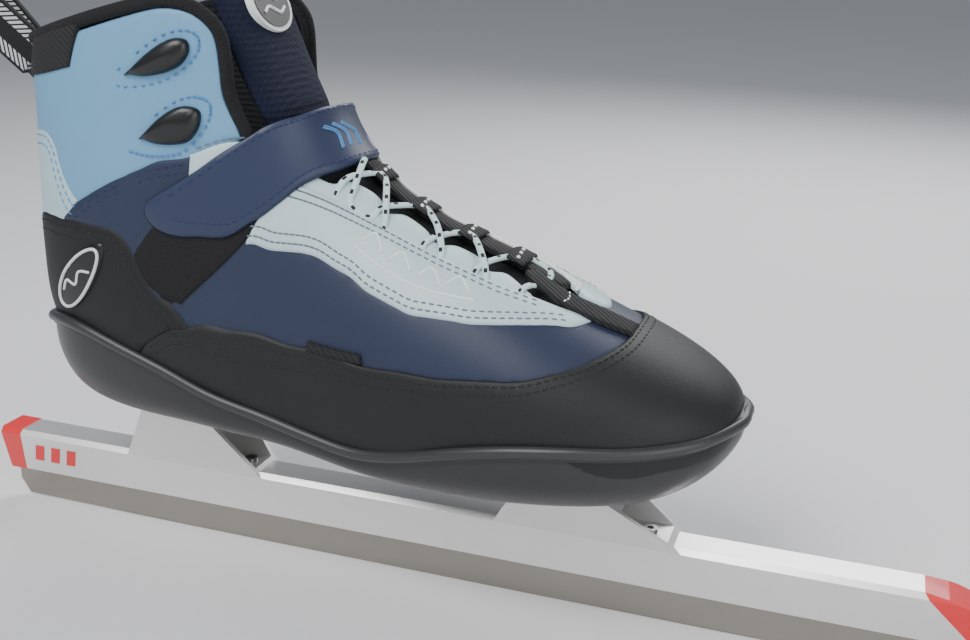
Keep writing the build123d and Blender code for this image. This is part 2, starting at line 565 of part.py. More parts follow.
for label, outline in (("upper", HOOK_UPPER), ("lower", HOOK_LOWER)):
    hook = build_hook(outline)
    save(f"lace_hook_lateral_{label}", hook)
    save(f"lace_hook_medial_{label}", mirror(hook, Plane.XZ))

BADGE_S, BADGE_V, BADGE_HALF = (13.85, 15.2), 61 * deg, 15 * deg


def badge_half(s):
    """Half height of the oval heel badge on section s."""
    mid = sum(BADGE_S) / 2
    return BADGE_HALF * max(0.12, 1 - ((s - mid) / (BADGE_S[1] - mid)) ** 2) ** 0.5


badge_rows = [BADGE_S[0] + (BADGE_S[1] - BADGE_S[0]) * k / 8 for k in range(9)]
heel_badge = strip(*BADGE_S, lambda s: BADGE_V - badge_half(s), lambda s: BADGE_V + badge_half(s), near + 0.8, 0.8, rows=badge_rows)
save("heel_badge_lateral", heel_badge)
save("heel_badge_medial", mirror(heel_badge, Plane.XZ))
save("side_label", strip(8.75, 9.7, lambda s: 99.5 * deg, lambda s: 105.5 * deg, near + 0.5, 0.5))
save("collar_label", strip(18.6, 19.35, lambda s: 34 * deg, lambda s: 74 * deg, near + 0.7, 0.7))

# ------------------------------------------------------------------ lace, loops, toe ribbon, pull loop
LOOP_SHAPE = [(197, 1.1), (192, 3.8), (183, 4.0), (172, 3.9), (168.5, 3.0), (168, 0.8), (169.5, -1.0), (181, -1.1),
              (181, -0.3), (171, -0.2), (169.8, 1.0), (170.6, 2.7), (175, 3.2), (184, 3.2), (190, 3.0), (194, near), (197, near)]
for n, s_mid in enumerate(MEDIAL_LOOPS, 1):
    rings = [Wire.make_polygon([last_point(s, v * deg, off) for v, off in LOOP_SHAPE], close=True)
             for s in (s_mid - 0.14, s_mid, s_mid + 0.14)]
    save(f"medial_loop_{n}", Solid.make_loft(rings, True))


def ribbon_section(s, off):
    angles = [164 * deg, 170 * deg, 176 * deg, 182 * deg]
    points = [last_point(s, v, off) for v in angles] + [last_point(s, v, off - 0.8) for v in reversed(angles)]
    return Wire.make_polygon(points, close=True)


ribbon = [(4.5, 1.0), (5.0, 1.0), (5.45, 1.0), (5.7, 2.6), (5.85, 3.8), (6.05, 4.0), (6.25, 3.8)]
save("toe_ribbon", Solid.make_loft([ribbon_section(s, off) for s, off in ribbon], True))

lace_points = [last_point(s, v * deg, off) for s, v, off in LACE_PATH]
path = Wire(FilletPolyline(*lace_points, radius=LACE_BEND).edges())
start = path.edges()[0]
lace = sweep(Plane(origin=start @ 0, z_dir=start % 0) * Circle(LACE_R), path)
print("lace length", path.length, "swept", lace.volume / (pi * LACE_R**2))
save("lace", lace)

pull_plane = Plane(origin=PULL_ORIGIN, x_dir=PULL_DIR, z_dir=(0.66, 0, 0.75))


def loop_outline(half0, half1, start_at):
    body = Polygon((start_at, half0), (PULL_LENGTH - 1, half1), (PULL_LENGTH - 1, -half1), (start_at, -half0), align=None)
    return body + Pos(PULL_LENGTH - 1, 0) * Circle(half1)


profile = loop_outline(1.8, 6.2, 0) - loop_outline(0.7, 4.8, 5.0)
save("pull_loop", extrude(pull_plane * profile, PULL_WIDTH / 2, both=True))
anchor_plane = Plane(origin=(-170.6, 0, 189.0), x_dir=PULL_DIR, z_dir=(0.66, 0, 0.75))
anchor = anchor_plane * Box(6.0, 3.2, 14.0)
save("pull_loop_anchor", biggest(anchor - skin_clear))
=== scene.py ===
"""Studio scene of a long-track speed skate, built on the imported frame."""

import logging
import math
from dataclasses import dataclass, field
from enum import Enum
from typing import Sequence

import bmesh
import bpy
import numpy as np
from mathutils import Matrix, Vector, geometry, kdtree

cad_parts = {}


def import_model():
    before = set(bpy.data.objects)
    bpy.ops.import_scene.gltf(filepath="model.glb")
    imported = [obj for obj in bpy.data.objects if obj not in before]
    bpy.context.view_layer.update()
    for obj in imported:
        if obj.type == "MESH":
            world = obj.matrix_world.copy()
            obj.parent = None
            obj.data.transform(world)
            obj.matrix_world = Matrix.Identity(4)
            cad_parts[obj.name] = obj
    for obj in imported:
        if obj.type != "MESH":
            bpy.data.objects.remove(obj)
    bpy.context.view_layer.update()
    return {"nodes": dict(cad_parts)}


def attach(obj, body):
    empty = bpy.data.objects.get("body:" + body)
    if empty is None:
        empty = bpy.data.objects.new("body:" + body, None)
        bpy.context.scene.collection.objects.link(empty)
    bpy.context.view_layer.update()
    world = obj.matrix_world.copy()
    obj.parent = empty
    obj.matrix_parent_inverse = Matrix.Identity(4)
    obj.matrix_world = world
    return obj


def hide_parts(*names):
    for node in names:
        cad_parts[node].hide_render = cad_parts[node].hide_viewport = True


logging.basicConfig(level=logging.INFO, format="%(name)s: %(message)s")
LOG = logging.getLogger("speed_skate")
MM = 0.001
Spot = tuple[float, float]


# ------------------------------------------------------------------ materials
class Grain(Enum):
    """Kinds of fine surface relief."""

    NONE = "none"
    LEATHER = "leather"
    FUZZ = "fuzz"
    KNIT = "knit"
    WEB = "web"
    BRUSHED = "brushed"
    BLASTED = "blasted"


@dataclass(frozen=True)
class Finish:
    """A surface finish.

    Attributes:
        name: Material name.
        colour: sRGB colour.
        grain: Kind of fine relief.
        relief: Strength of the relief.
        mottle: Share by which the colour varies.
        coat: Weight of a clear coat.
        specular: Specular level.
    """

    name: str
    colour: tuple[float, float, float]
    roughness: float = 0.5
    metallic: float = 0.0
    grain: Grain = Grain.NONE
    relief: float = 0.15
    mottle: float = 0.06
    coat: float = 0.0
    specular: float = 0.5


class Socket:
    """A shader value that can be used in Python arithmetic."""

    def __init__(self, graph: "Graph", link: bpy.types.NodeSocket) -> None:
        """Wrap an output socket of a graph."""
        self.graph = graph
        self.link = link

    def _do(self, operation: str, *values: object) -> "Socket":
        """Add a Math node on one or two values."""
        return self.graph.node("ShaderNodeMath", {"operation": operation}, dict(enumerate(values)))

    def __add__(self, other: object) -> "Socket":
        """self + other."""
        return self._do("ADD", self, other)

    def __radd__(self, other: object) -> "Socket":
        """other + self."""
        return self._do("ADD", other, self)

    def __sub__(self, other: object) -> "Socket":
        """self - other."""
        return self._do("SUBTRACT", self, other)

    def __rsub__(self, other: object) -> "Socket":
        """other - self."""
        return self._do("SUBTRACT", other, self)

    def __mul__(self, other: object) -> "Socket":
        """self * other."""
        return self._do("MULTIPLY", self, other)

    def __rmul__(self, other: object) -> "Socket":
        """other * self."""
        return self._do("MULTIPLY", other, self)

    def __mod__(self, other: object) -> "Socket":
        """self % other."""
        return self._do("FLOORED_MODULO", self, other)

    def __rmod__(self, other: object) -> "Socket":
        """other % self."""
        return self._do("FLOORED_MODULO", other, self)

    def __lt__(self, other: object) -> "Socket":
        """1 where self < other, else 0."""
        return self._do("LESS_THAN", self, other)

    def __gt__(self, other: object) -> "Socket":
        """1 where self > other, else 0."""
        return self._do("GREATER_THAN", self, other)

    def __abs__(self) -> "Socket":
        """Distance from zero."""
        return self._do("ABSOLUTE", self)


class Graph:
    """Builds one material's node tree."""

    def __init__(self, name: str) -> None:
        """Start a material with a principled shader."""
        self.material = bpy.data.materials.new(name)
        self.material.use_nodes = True
        self.tree = self.material.node_tree
        self.shader = self.tree.nodes["Principled BSDF"]

    def node(self, kind: str, settings: dict[str, object], inputs: dict[object, object], out: object = 0) -> Socket:
        """Add a node.

        Args:
            kind: Blender's node type.
            settings: Attributes set on the node.
            inputs: Socket name or number to value or Socket.
            out: Output socket name or number.

        Returns:
            The chosen output as a Socket.
        """
        made = self.tree.nodes.new(kind)
        for key, value in settings.items():
            setattr(made, key, value)
        for key, value in inputs.items():
            if isinstance(value, Socket):
                self.tree.links.new(value.link, made.inputs[key])
            else:
                made.inputs[key].default_value = value
        return Socket(self, made.outputs[out])

    def place(self, scale: tuple[float, float, float] = (1.0, 1.0, 1.0)) -> Socket:
        """Object coordinates, scaled."""
        start = self.node("ShaderNodeTexCoord", {}, {}, "Object")
        return self.node("ShaderNodeMapping", {}, {"Vector": start, "Scale": scale})

    def noise(self, scale: float, stretch: tuple[float, float, float] = (1, 1, 1), detail: float = 2.0) -> Socket:
        """Noise value between 0 and 1."""
        return self.node("ShaderNodeTexNoise", {}, {"Vector": self.place(stretch), "Scale": scale, "Detail": detail})

    def cells(self, feature: str, scale: float, stretch: tuple[float, float, float] = (1, 1, 1),
              randomness: float = 1.0) -> Socket:
        """Distance in a cell pattern.

        Args:
            feature: Which distance, by Blender's name.
            scale: Cells in a metre.
            stretch: Scale of each axis.
            randomness: How far the cells leave their grid.

        Returns:
            The distance.
        """
        facts = {"Vector": self.place(stretch), "Scale": scale, "Randomness": randomness}
        return self.node("ShaderNodeTexVoronoi", {"feature": feature}, facts)

    def mix(self, factor: Socket, dark: Sequence[float], light: Sequence[float]) -> Socket:
        """Colour between two colours."""
        return self.node("ShaderNodeMix", {"data_type": "RGBA"}, {0: factor, 6: (*dark, 1.0), 7: (*light, 1.0)}, 2)

    def feed(self, name: str, value: Socket) -> None:
        """Link a value to the shader."""
        self.tree.links.new(value.link, self.shader.inputs[name])

    def fix(self, **values: object) -> None:
        """Set unchanging shader values."""
        for key, value in values.items():
            self.shader.inputs[key.replace("_", " ")].default_value = value

    def bump(self, height: Socket, strength: float, distance: float) -> None:
        """Relief from a height, with its depth in metres."""
        made = self.node("ShaderNodeBump", {}, {"Height": height, "Strength": strength, "Distance": distance})
        self.feed("Normal", made)


def linear(colour: Sequence[float]) -> tuple[float, float, float]:
    """sRGB to linear."""
    return tuple(c / 12.92 if c <= 0.04045 else ((c + 0.055) / 1.055) ** 2.4 for c in colour)


def relief(graph: Graph, kind: Grain) -> tuple[Socket, float]:
    """Relief of one kind of grain.

    Args:
        graph: Where its nodes go.
        kind: The kind of grain.

    Returns:
        Its height and its depth in metres.
    """
    if kind is Grain.LEATHER:
        return graph.cells("DISTANCE_TO_EDGE", 1100.0) * 1.2 + graph.noise(420.0) * 0.5, 0.0002
    if kind is Grain.FUZZ:
        return graph.noise(1500.0, detail=5.0) + graph.noise(350.0), 0.0009
    if kind is Grain.KNIT:
        return graph.cells("F1", 760.0, (1, 1, 0.6), 0.1), 0.0012
    if kind is Grain.WEB:
        ribs = graph.node("ShaderNodeTexWave", {"wave_type": "BANDS", "bands_direction": "DIAGONAL"},
                          {"Vector": graph.place(), "Scale": 260.0, "Distortion": 0.6}, "Fac")
        return ribs, 0.0005
    if kind is Grain.BRUSHED:
        return graph.noise(60.0, (1.0, 22.0, 22.0), 4.0), 0.00006
    return graph.noise(1800.0), 0.0001


def paint(finish: Finish) -> bpy.types.Material:
    """Material of a finish."""
    graph = Graph(finish.name)
    base = linear(finish.colour)
    graph.fix(Roughness=finish.roughness, Metallic=finish.metallic, Coat_Weight=finish.coat,
              Specular_IOR_Level=finish.specular)
    dark = tuple(c * (1 - finish.mottle) for c in base)
    light = tuple(min(1.0, c * (1 + finish.mottle)) for c in base)
    graph.feed("Base Color", graph.mix(graph.noise(38.0), dark, light))
    if finish.grain is not Grain.NONE:
        height, depth = relief(graph, finish.grain)
        graph.bump(height, finish.relief, depth)
    return graph.material


class Palette:
    """Every finish of the skate."""

    black = Finish("black_leather", (.11, .115, .12), .55, grain=Grain.LEATHER, relief=.35, specular=.35)
    heel = Finish("heel_leather", (.11, .115, .12), .58, grain=Grain.LEATHER, relief=.35, specular=.3)
    navy = Finish("navy_leather", (.155, .185, .27), .5, grain=Grain.LEATHER, relief=.2, specular=.35)
    strap = Finish("strap_leather", (.165, .20, .30), .42, grain=Grain.LEATHER, relief=.12, specular=.4)
    sky = Finish("sky_leather", (.41, .60, .735), .46, grain=Grain.LEATHER, relief=.12, mottle=.04)
    pale = Finish("pale_leather", (.67, .77, .80), .45, grain=Grain.LEATHER, relief=.12, mottle=.04)
    ice = Finish("ice_leather", (.72, .80, .82), .44, grain=Grain.LEATHER, relief=.12, mottle=.04)
    mesh = Finish("tongue_mesh", (.045, .07, .165), .85, grain=Grain.KNIT, relief=.5, mottle=.2, specular=.3)
    fuzz = Finish("black_fuzz", (.075, .075, .085), .95, grain=Grain.FUZZ, relief=.7, mottle=.3)
    lining = Finish("lining_mesh", (.085, .09, .10), .9, grain=Grain.KNIT, relief=.8, mottle=.25)
    webbing = Finish("black_webbing", (.085, .085, .09), .8, grain=Grain.WEB, relief=.8, mottle=.15)
    gloss = Finish("hook_plastic", (.055, .057, .062), .38, coat=.1)
    white = Finish("white_thread", (.90, .91, .90), .6)
    thread_black = Finish("black_thread", (.06, .06, .07), .6)
    thread_navy = Finish("navy_thread", (.09, .13, .30), .6)
    thread_sky = Finish("sky_thread", (.27, .50, .72), .55)
    thread_grey = Finish("grey_thread", (.38, .42, .46), .6)
    badge = Finish("badge_black", (.05, .05, .055), .4)
    rim = Finish("badge_rim", (.86, .87, .87), .4)
    # Real rim of the sole, coloured lighter than the shell so that it carries a painted highlight line.
    rim_painted_highlight = Finish("sole_rim_painted_highlight", (.19, .19, .195), .4, grain=Grain.BLASTED, relief=.1)
    sole = Finish("sole_shell", (.15, .153, .16), .36, grain=Grain.BLASTED, relief=.1)
    tube = Finish("tube_aluminium", (.93, .925, .915), .34, .8, Grain.BRUSHED, .25, .03)
    cup = Finish("cup_aluminium", (.90, .895, .885), .38, .8, Grain.BLASTED, .12, .03)
    steel = Finish("runner_steel", (.62, .60, .57), .26, 1.0, Grain.BRUSHED, .3, .05)
    bolt = Finish("bolt_steel", (.55, .55, .55), .3, 1.0)
    red = Finish("cap_red", (.86, .16, .17), .33, coat=.25)
    board = Finish("foot_board", (.16, .16, .17), .9, grain=Grain.FUZZ, relief=.3)

    def __init__(self) -> None:
        """Start with no material made."""
        self._made: dict[str, bpy.types.Material] = {}

    def of(self, finish: Finish) -> bpy.types.Material:
        """The material of a finish, made once."""
        if finish.name not in self._made:
            self._made[finish.name] = paint(finish)
        return self._made[finish.name]


# ------------------------------------------------------------------ boot surface
def smooth_step(p0: np.ndarray, p1: np.ndarray, p2: np.ndarray, p3: np.ndarray, t: np.ndarray) -> np.ndarray:
    """Catmull-Rom value between p1 and p2 at shares t."""
    return 0.5 * (2 * p1 + (p2 - p0) * t + (2 * p0 - 5 * p1 + 4 * p2 - p3) * t**2
                  + (3 * p1 - p0 - 3 * p2 + p3) * t**3)


@dataclass
class BootSurface:
    """Outer surface of the boot, in millimetres.

    Attributes:
        rows: Sections from the toe to the top of the shaft. Each is bottom x, z, top x, z, half width lateral and
            medial, height share of the widest line, roundness below and above it.
        plane_v: Length of a degree round the boot in the plane that panels are cut in.
    """

    rows: list[tuple[float, ...]] = field(default_factory=lambda: [
        (104.6, 84, 104.6, 87, 5, 5.5, .45, 2.4, 2.2), (102.5, 79, 102.5, 91, 13, 13.5, .45, 2.6, 2.2),
        (97.5, 74, 97.5, 95.8, 21, 22, .45, 2.8, 2.2), (88, 69, 88, 101.8, 29.5, 31.5, .42, 3, 2.2),
        (74, 64, 74, 108.6, 37, 39, .40, 3, 2.2), (56, 60.5, 56, 116.2, 42, 42.5, .38, 3, 2.2),
        (38, 58, 36, 125.2, 44, 42.5, .36, 3, 2.2), (18, 56.5, 16, 133.4, 43.2, 40, .34, 3.2, 2.2),
        (-4, 56.5, -4, 141, 41, 37.5, .31, 3.4, 2.2), (-30, 58.5, -22.5, 151, 37.5, 35, .29, 3.6, 2.2),
        (-58, 63, -35.5, 162.5, 35, 34, .28, 3.4, 2.3), (-88, 67, -43.5, 173.5, 35, 34.5, .31, 3, 2.4),
        (-118, 70, -47.5, 183, 35.5, 35.5, .35, 2.6, 2.5), (-143, 74, -49, 190.5, 36, 36, .40, 2.3, 2.5),
        (-160, 83, -49.5, 197, 36, 36, .45, 2.2, 2.5), (-167, 98, -50, 202, 36, 36, .47, 2.2, 2.5),
        (-168, 120, -50, 207, 36, 36, .48, 2.2, 2.5), (-167.5, 143, -50, 212, 36, 36, .49, 2.2, 2.5),
        (-166.5, 166, -50, 218, 36, 36, .50, 2.2, 2.5), (-166, 190, -50.5, 225, 36, 36, .50, 2.2, 2.5),
        (-166, 212, -51, 238, 36, 36, .50, 2.2, 2.5)])
    plane_v: float = 0.78

    def __post_init__(self) -> None:
        """Measure the length along the boot's side."""
        self._rows = np.array(self.rows, float)
        self._s = np.linspace(0, len(self.rows) - 1, 401)
        side = self.points(self._s, np.full(401, math.pi / 2), 0.0)
        step = np.linalg.norm(np.diff(side, axis=0), axis=1)
        self._along = np.concatenate([[0.0], np.cumsum(step)])

    def points(self, s: np.ndarray, v: np.ndarray, off: np.ndarray | float) -> np.ndarray:
        """Points on or over the boot.

        Args:
            s: Section numbers.
            v: Angles from the bottom in radians, over the lateral side.
            off: Lifts in millimetres.

        Returns:
            One x, y, z row for each point.
        """
        rows = self._rows
        last = len(rows) - 1
        i = np.clip(s.astype(int), 0, last - 1)
        t = (s - i)[:, None]
        p0, p1, p2, p3 = rows[np.maximum(i - 1, 0)], rows[i], rows[i + 1], rows[np.minimum(i + 2, last)]
        row = smooth_step(p0, p1, p2, p3, t)
        bx, bz, tx, tz, lateral, medial, frac, n_low, n_high = row.T
        length = np.hypot(tx - bx, tz - bz)
        c, d = np.cos(v), np.sin(v)
        n = np.where(c > 0, n_low, n_high)
        reach = np.where(c > 0, frac, 1 - frac) * length + off
        along = frac * length - np.sign(c) * reach * np.abs(c) ** (2 / n)
        across = -np.sign(d) * (np.where(d > 0, lateral, medial) + off) * np.abs(d) ** (2 / n)
        return np.stack([bx + (tx - bx) / length * along, across, bz + (tz - bz) / length * along], 1)

    def to_plane(self, spots: Sequence[Spot]) -> np.ndarray:
        """(section, degrees) to nearly true-length plane coordinates in millimetres."""
        spots = np.array(spots, float)
        return np.stack([np.interp(spots[:, 0], self._s, self._along), spots[:, 1] * self.plane_v], 1)

    def lift(self, flat: np.ndarray, off: np.ndarray | float) -> np.ndarray:
        """Plane coordinates to points on the boot, in millimetres."""
        s = np.interp(flat[:, 0], self._along, self._s)
        return self.points(s, np.radians(flat[:, 1] / self.plane_v), off)

    def curve(self, spots: Sequence[Spot], step: float = 1.2) -> np.ndarray:
        """Smooth plane curve through (section, degrees) spots, sampled about every step millimetres."""
        return rounded(self.to_plane(spots), step)


def rounded(points: np.ndarray, step: float) -> np.ndarray:
    """Smooth curve through points, evenly sampled.

    Args:
        points: Rows of coordinates.
        step: Distance between samples.

    Returns:
        The samples, with both ends kept.
    """
    if len(points) < 3:
        fine = points
    else:
        ends = np.vstack([2 * points[0] - points[1], points, 2 * points[-1] - points[-2]])
        parts = []
        for p0, p1, p2, p3 in zip(ends, ends[1:], ends[2:], ends[3:]):
            t = np.linspace(0, 1, 12, endpoint=False)[:, None]
            parts.append(smooth_step(p0, p1, p2, p3, t))
        fine = np.vstack(parts + [points[-1:]])
    length = np.concatenate([[0], np.cumsum(np.linalg.norm(np.diff(fine, axis=0), axis=1))])
    count = max(2, int(length[-1] / step) + 1)
    at = np.linspace(0, length[-1], count)
    return np.stack([np.interp(at, length, fine[:, k]) for k in range(fine.shape[1])], 1)


def cut_corners(points: np.ndarray, rounds: int = 2) -> np.ndarray:
    """Soften the corners of a polyline without letting it swing wide."""
    for _ in range(rounds):
        near, far = points[:-1] * .75 + points[1:] * .25, points[:-1] * .25 + points[1:] * .75
        middle = np.stack([near, far], 1).reshape(-1, points.shape[1])
        points = np.vstack([points[:1], middle[1:-1], points[-1:]])
    return points


def shifted(path: np.ndarray, distance: float) -> np.ndarray:
    """Plane path moved sideways, to the left of its direction for a positive distance."""
    step = np.gradient(path, axis=0)
    step /= np.maximum(np.linalg.norm(step, axis=1, keepdims=True), 1e-9)
    return path + np.stack([-step[:, 1], step[:, 0]], 1) * distance


def inside(points: np.ndarray, loop: np.ndarray) -> np.ndarray:
    """Which plane points lie inside a closed loop."""
    x, y = points[:, 0], points[:, 1]
    hit = np.zeros(len(points), bool)
    for (xa, ya), (xb, yb) in zip(loop, np.roll(loop, -1, axis=0)):
        crosses = (ya > y) != (yb > y)
        if ya != yb:
            hit ^= crosses & (x < (xb - xa) * (y - ya) / (yb - ya) + xa)
    return hit


def mirrored(spots: Sequence[Spot]) -> list[Spot]:
    """The same spots on the medial side, in the opposite order."""
    return [(s, 360.0 - v) for s, v in reversed(spots)]


def around_back(spots: Sequence[Spot]) -> list[Spot]:
    """The same spots on the medial side, reached round the heel."""
    return [(s, -v) for s, v in reversed(spots)]


# ------------------------------------------------------------------ mesh helpers
def to_object(name: str, mesh: bmesh.types.BMesh, material: bpy.types.Material, smooth: bool = True,
              turn_out: bool = True) -> bpy.types.Object:
    """Turn a bmesh in metres into a shaded object.

    Args:
        name: Piece name.
        mesh: The mesh, which is freed.
        material: Its material.
        smooth: Whether it is shaded smooth.
        turn_out: Whether its faces still have to be turned outwards.

    Returns:
        The object, linked to the scene.
    """
    if turn_out:
        bmesh.ops.recalc_face_normals(mesh, faces=mesh.faces)
    data = bpy.data.meshes.new(name)
    mesh.to_mesh(data)
    mesh.free()
    data.materials.append(material)
    data.shade_smooth() if smooth else data.shade_flat()
    made = bpy.data.objects.new(name, data)
    bpy.context.scene.collection.objects.link(made)
    return made


@dataclass
class Panel:
    """A cut piece of leather or fabric lying on the boot.

    Attributes:
        name: Piece name.
        outline: Runs of (section, degrees) spots; each run is smooth and runs meet in corners.
        finish: Its finish.
        base: Lift of its lower face over the boot surface in millimetres.
        thick: Thickness in millimetres.
        closed: Whether it also gets a lower face.
        crown: Extra height in its middle, for padded pieces.
        pitch: Spacing of the points inside it in millimetres.
    """

    name: str
    outline: list[list[Spot]]
    finish: Finish
    base: float
    thick: float = 1.1
    closed: bool = False
    crown: float = 0.0
    pitch: float = 2.6

    def build(self, boot: BootSurface, palette: Palette) -> bpy.types.Object:
        """Make the mesh.

        Args:
            boot: The surface it lies on.
            palette: Source of materials.

        Returns:
            The finished object.
        """
        flat, faces, dist = self._cut(boot)
        height = np.interp(dist, [0, .05, .35, .95, 1.6], [-.8, 0, .62, .92, 1.0]) * self.thick
        height += self.crown * (1 - np.exp(-dist / 6.0))
        edge = dist < 0.05
        height[edge] = 0.0 if self.closed else -0.8
        mesh = bmesh.new()
        verts = [mesh.verts.new(p) for p in boot.lift(flat, self.base + height) * MM]
        for face in faces:
            mesh.faces.new([verts[k] for k in face])
        if self.closed:
            under = boot.lift(flat, np.full(len(flat), self.base)) * MM
            lower = [verts[k] if edge[k] else mesh.verts.new(under[k]) for k in range(len(flat))]
            for face in faces:
                corners = [lower[k] for k in reversed(face)]
                if mesh.faces.get(corners) is None:
                    mesh.faces.new(corners)
        else:
            self._face_out(mesh, boot, flat, verts)
        return to_object(self.name, mesh, palette.of(self.finish), turn_out=self.closed)

    def _cut(self, boot: BootSurface) -> tuple[np.ndarray, list[list[int]], np.ndarray]:
        """Fill the outline with triangles in the boot's plane.

        Args:
            boot: The surface that the plane belongs to.

        Returns:
            Plane points, triangles, and each point's distance from the outline.
        """
        loop = np.vstack([boot.curve(run, 1.1)[:-1] for run in self.outline])
        area = 0.5 * np.sum(loop[:, 0] * np.roll(loop[:, 1], -1) - np.roll(loop[:, 0], -1) * loop[:, 1])
        side = 1.0 if area > 0 else -1.0
        closed_loop = np.vstack([loop, loop[:1]])
        rings = [shifted(closed_loop, side * d)[:-1] for d in (0.35, 0.95)]
        low, high = loop.min(0), loop.max(0)
        xs, ys = np.arange(low[0], high[0], self.pitch), np.arange(low[1], high[1], self.pitch)
        grid = np.stack(np.meshgrid(xs, ys), -1).reshape(-1, 2)
        grid[:, 0] += (np.round(grid[:, 1] / self.pitch) % 2) * self.pitch / 2
        tree = kdtree.KDTree(len(loop))
        for k, (a, b) in enumerate(loop):
            tree.insert((a, b, 0), k)
        tree.balance()

        def gap(point: np.ndarray) -> float:
            """Distance from the outline."""
            return tree.find((point[0], point[1], 0))[2]

        extra = [p for ring, least in zip(rings, (0.28, 0.8)) for p in ring[inside(ring, loop)] if gap(p) > least]
        extra += [p for p in grid[inside(grid, loop)] if gap(p) > 1.5]
        spots = [Vector(p) for p in loop] + [Vector(p) for p in extra]
        found, _, faces, *_ = geometry.delaunay_2d_cdt(spots, [], [list(range(len(loop)))], 1, 1e-5)
        flat = np.array([(p.x, p.y) for p in found])
        return flat, faces, np.array([gap(p) for p in flat])

    def _face_out(self, mesh: bmesh.types.BMesh, boot: BootSurface, flat: np.ndarray, verts: list) -> None:
        """Turn every face so that its normal leaves the boot."""
        outer = boot.lift(flat, self.base + 8.0) * MM
        mesh.verts.index_update()
        mesh.normal_update()
        vote = 0.0
        for vert in verts:
            vote += vert.normal.dot(Vector(outer[vert.index]) - vert.co)
        if vote < 0:
            bmesh.ops.reverse_faces(mesh, faces=mesh.faces[:])


@dataclass
class Stitching:
    """Rows of stitches along plane curves.

    Attributes:
        runs: (section, degrees) spots of each curve.
        offsets: Sideways distances of the rows in millimetres.
        lift: Height over the boot surface.
        pitch: Distance from one stitch to the next.
        length: Length of a stitch.
        radius: Radius of the thread.
    """

    name: str
    runs: list[list[Spot]]
    finish: Finish
    offsets: tuple[float, ...] = (0.0,)
    lift: float = 1.3
    pitch: float = 3.0
    length: float = 2.1
    radius: float = 0.33

    def build(self, boot: BootSurface, palette: Palette) -> bpy.types.Object:
        """Make all stitches as one mesh."""
        mesh = bmesh.new()
        for run in self.runs:
            path = boot.curve(run, 0.5)
            for offset in self.offsets:
                self._row(mesh, boot, rounded(shifted(path, offset), self.pitch))
        return to_object(self.name, mesh, palette.of(self.finish))

    def _row(self, mesh: bmesh.types.BMesh, boot: BootSurface, flat: np.ndarray) -> None:
        """One row of stitches."""
        points = boot.lift(flat, self.lift)
        above = boot.lift(flat, self.lift + 1.0)
        for a, b, up in zip(points, points[1:], above):
            centre, along = Vector((a + b) / 2), Vector(b - a)
            if along.length < 0.5 * self.pitch or along.length > 2.0 * self.pitch:
                continue
            out = (Vector(up) - Vector(a)).normalized()
            add_capsule(mesh, centre * MM, along.normalized(), out, self.length * MM, self.radius * MM)


def add_capsule(mesh: bmesh.types.BMesh, centre: Vector, along: Vector, out: Vector, length: float,
                radius: float) -> None:
    """Add a short rounded thread.

    Args:
        mesh: Where it goes.
        centre: Its middle.
        along: Its direction.
        out: Direction away from the surface.
        length: Its length.
        radius: Its radius.
    """
    across = along.cross(out).normalized()
    out = across.cross(along).normalized()
    turn = Matrix((across, out, along)).transposed().to_4x4()
    turn.translation = centre
    made = bmesh.ops.create_cone(mesh, cap_ends=True, segments=6, radius1=radius, radius2=radius, depth=length * 0.6,
                                 matrix=turn)
    for vert in made["verts"]:
        local = (vert.co - centre).dot(along)
        vert.co -= out * radius * 0.3 * (abs(local) / (length * 0.3)) ** 2
    ends = [f for f in {f for v in made["verts"] for f in v.link_faces} if len(f.verts) == 6]
    for cap in ends:
        grown = bmesh.ops.extrude_discrete_faces(mesh, faces=[cap])["faces"][0]
        middle = grown.calc_center_median()
        push = along * (1 if (middle - centre).dot(along) > 0 else -1) * length * 0.2
        for vert in grown.verts:
            vert.co = middle + (vert.co - middle) * 0.45 + push - out * radius * 0.5


def tube_along(name: str, points: np.ndarray, radius: float, material: bpy.types.Material, closed: bool = False,
               flat: float = 1.0, outs: np.ndarray | None = None, sides: int = 12) -> bpy.types.Object:
    """A round or flattened cord, with its length in the UV map.

    Args:
        name: Piece name.
        points: Its middle line in millimetres.
        radius: Half its width.
        material: Its material.
        closed: Whether its end joins its start.
        flat: Height over width.
        outs: Direction of its height at each point.
        sides: Points round it.

    Returns:
        The finished object.
    """
    mesh = bmesh.new()
    uv = mesh.loops.layers.uv.new("UVMap")
    count = len(points)
    rings = []
    side = Vector((0.1, 0.2, 1.0))
    for k in range(count):
        ahead = points[(k + 1) % count if closed else min(k + 1, count - 1)]
        behind = points[k - 1 if closed else max(k - 1, 0)]
        along = Vector(ahead - behind).normalized()
        out = Vector(outs[k]) if outs is not None else side
        out = (out - along * out.dot(along)).normalized()
        side = out
        across = along.cross(out)
        ring = []
        for j in range(sides):
            a = 2 * math.pi * j / sides
            rim = across * math.cos(a) * radius + out * math.sin(a) * radius * flat
            ring.append(mesh.verts.new((Vector(points[k]) + rim) * MM))
        rings.append(ring)
    length = np.concatenate([[0], np.cumsum(np.linalg.norm(np.diff(points, axis=0), axis=1))])
    pairs = list(zip(range(count), range(1, count))) + ([(count - 1, 0)] if closed else [])
    for a, b in pairs:
        for j in range(sides):
            face = mesh.faces.new([rings[a][j], rings[a][(j + 1) % sides], rings[b][(j + 1) % sides], rings[b][j]])
            ends = (length[a], length[b] if b > a else length[a] + 1.0)
            for loop, (u, v) in zip(face.loops, ((ends[0], j), (ends[0], j + 1), (ends[1], j + 1), (ends[1], j))):
                loop[uv].uv = (u, v / sides)
    if not closed:
        mesh.faces.new(rings[0])
        mesh.faces.new(list(reversed(rings[-1])))
    return to_object(name, mesh, material)


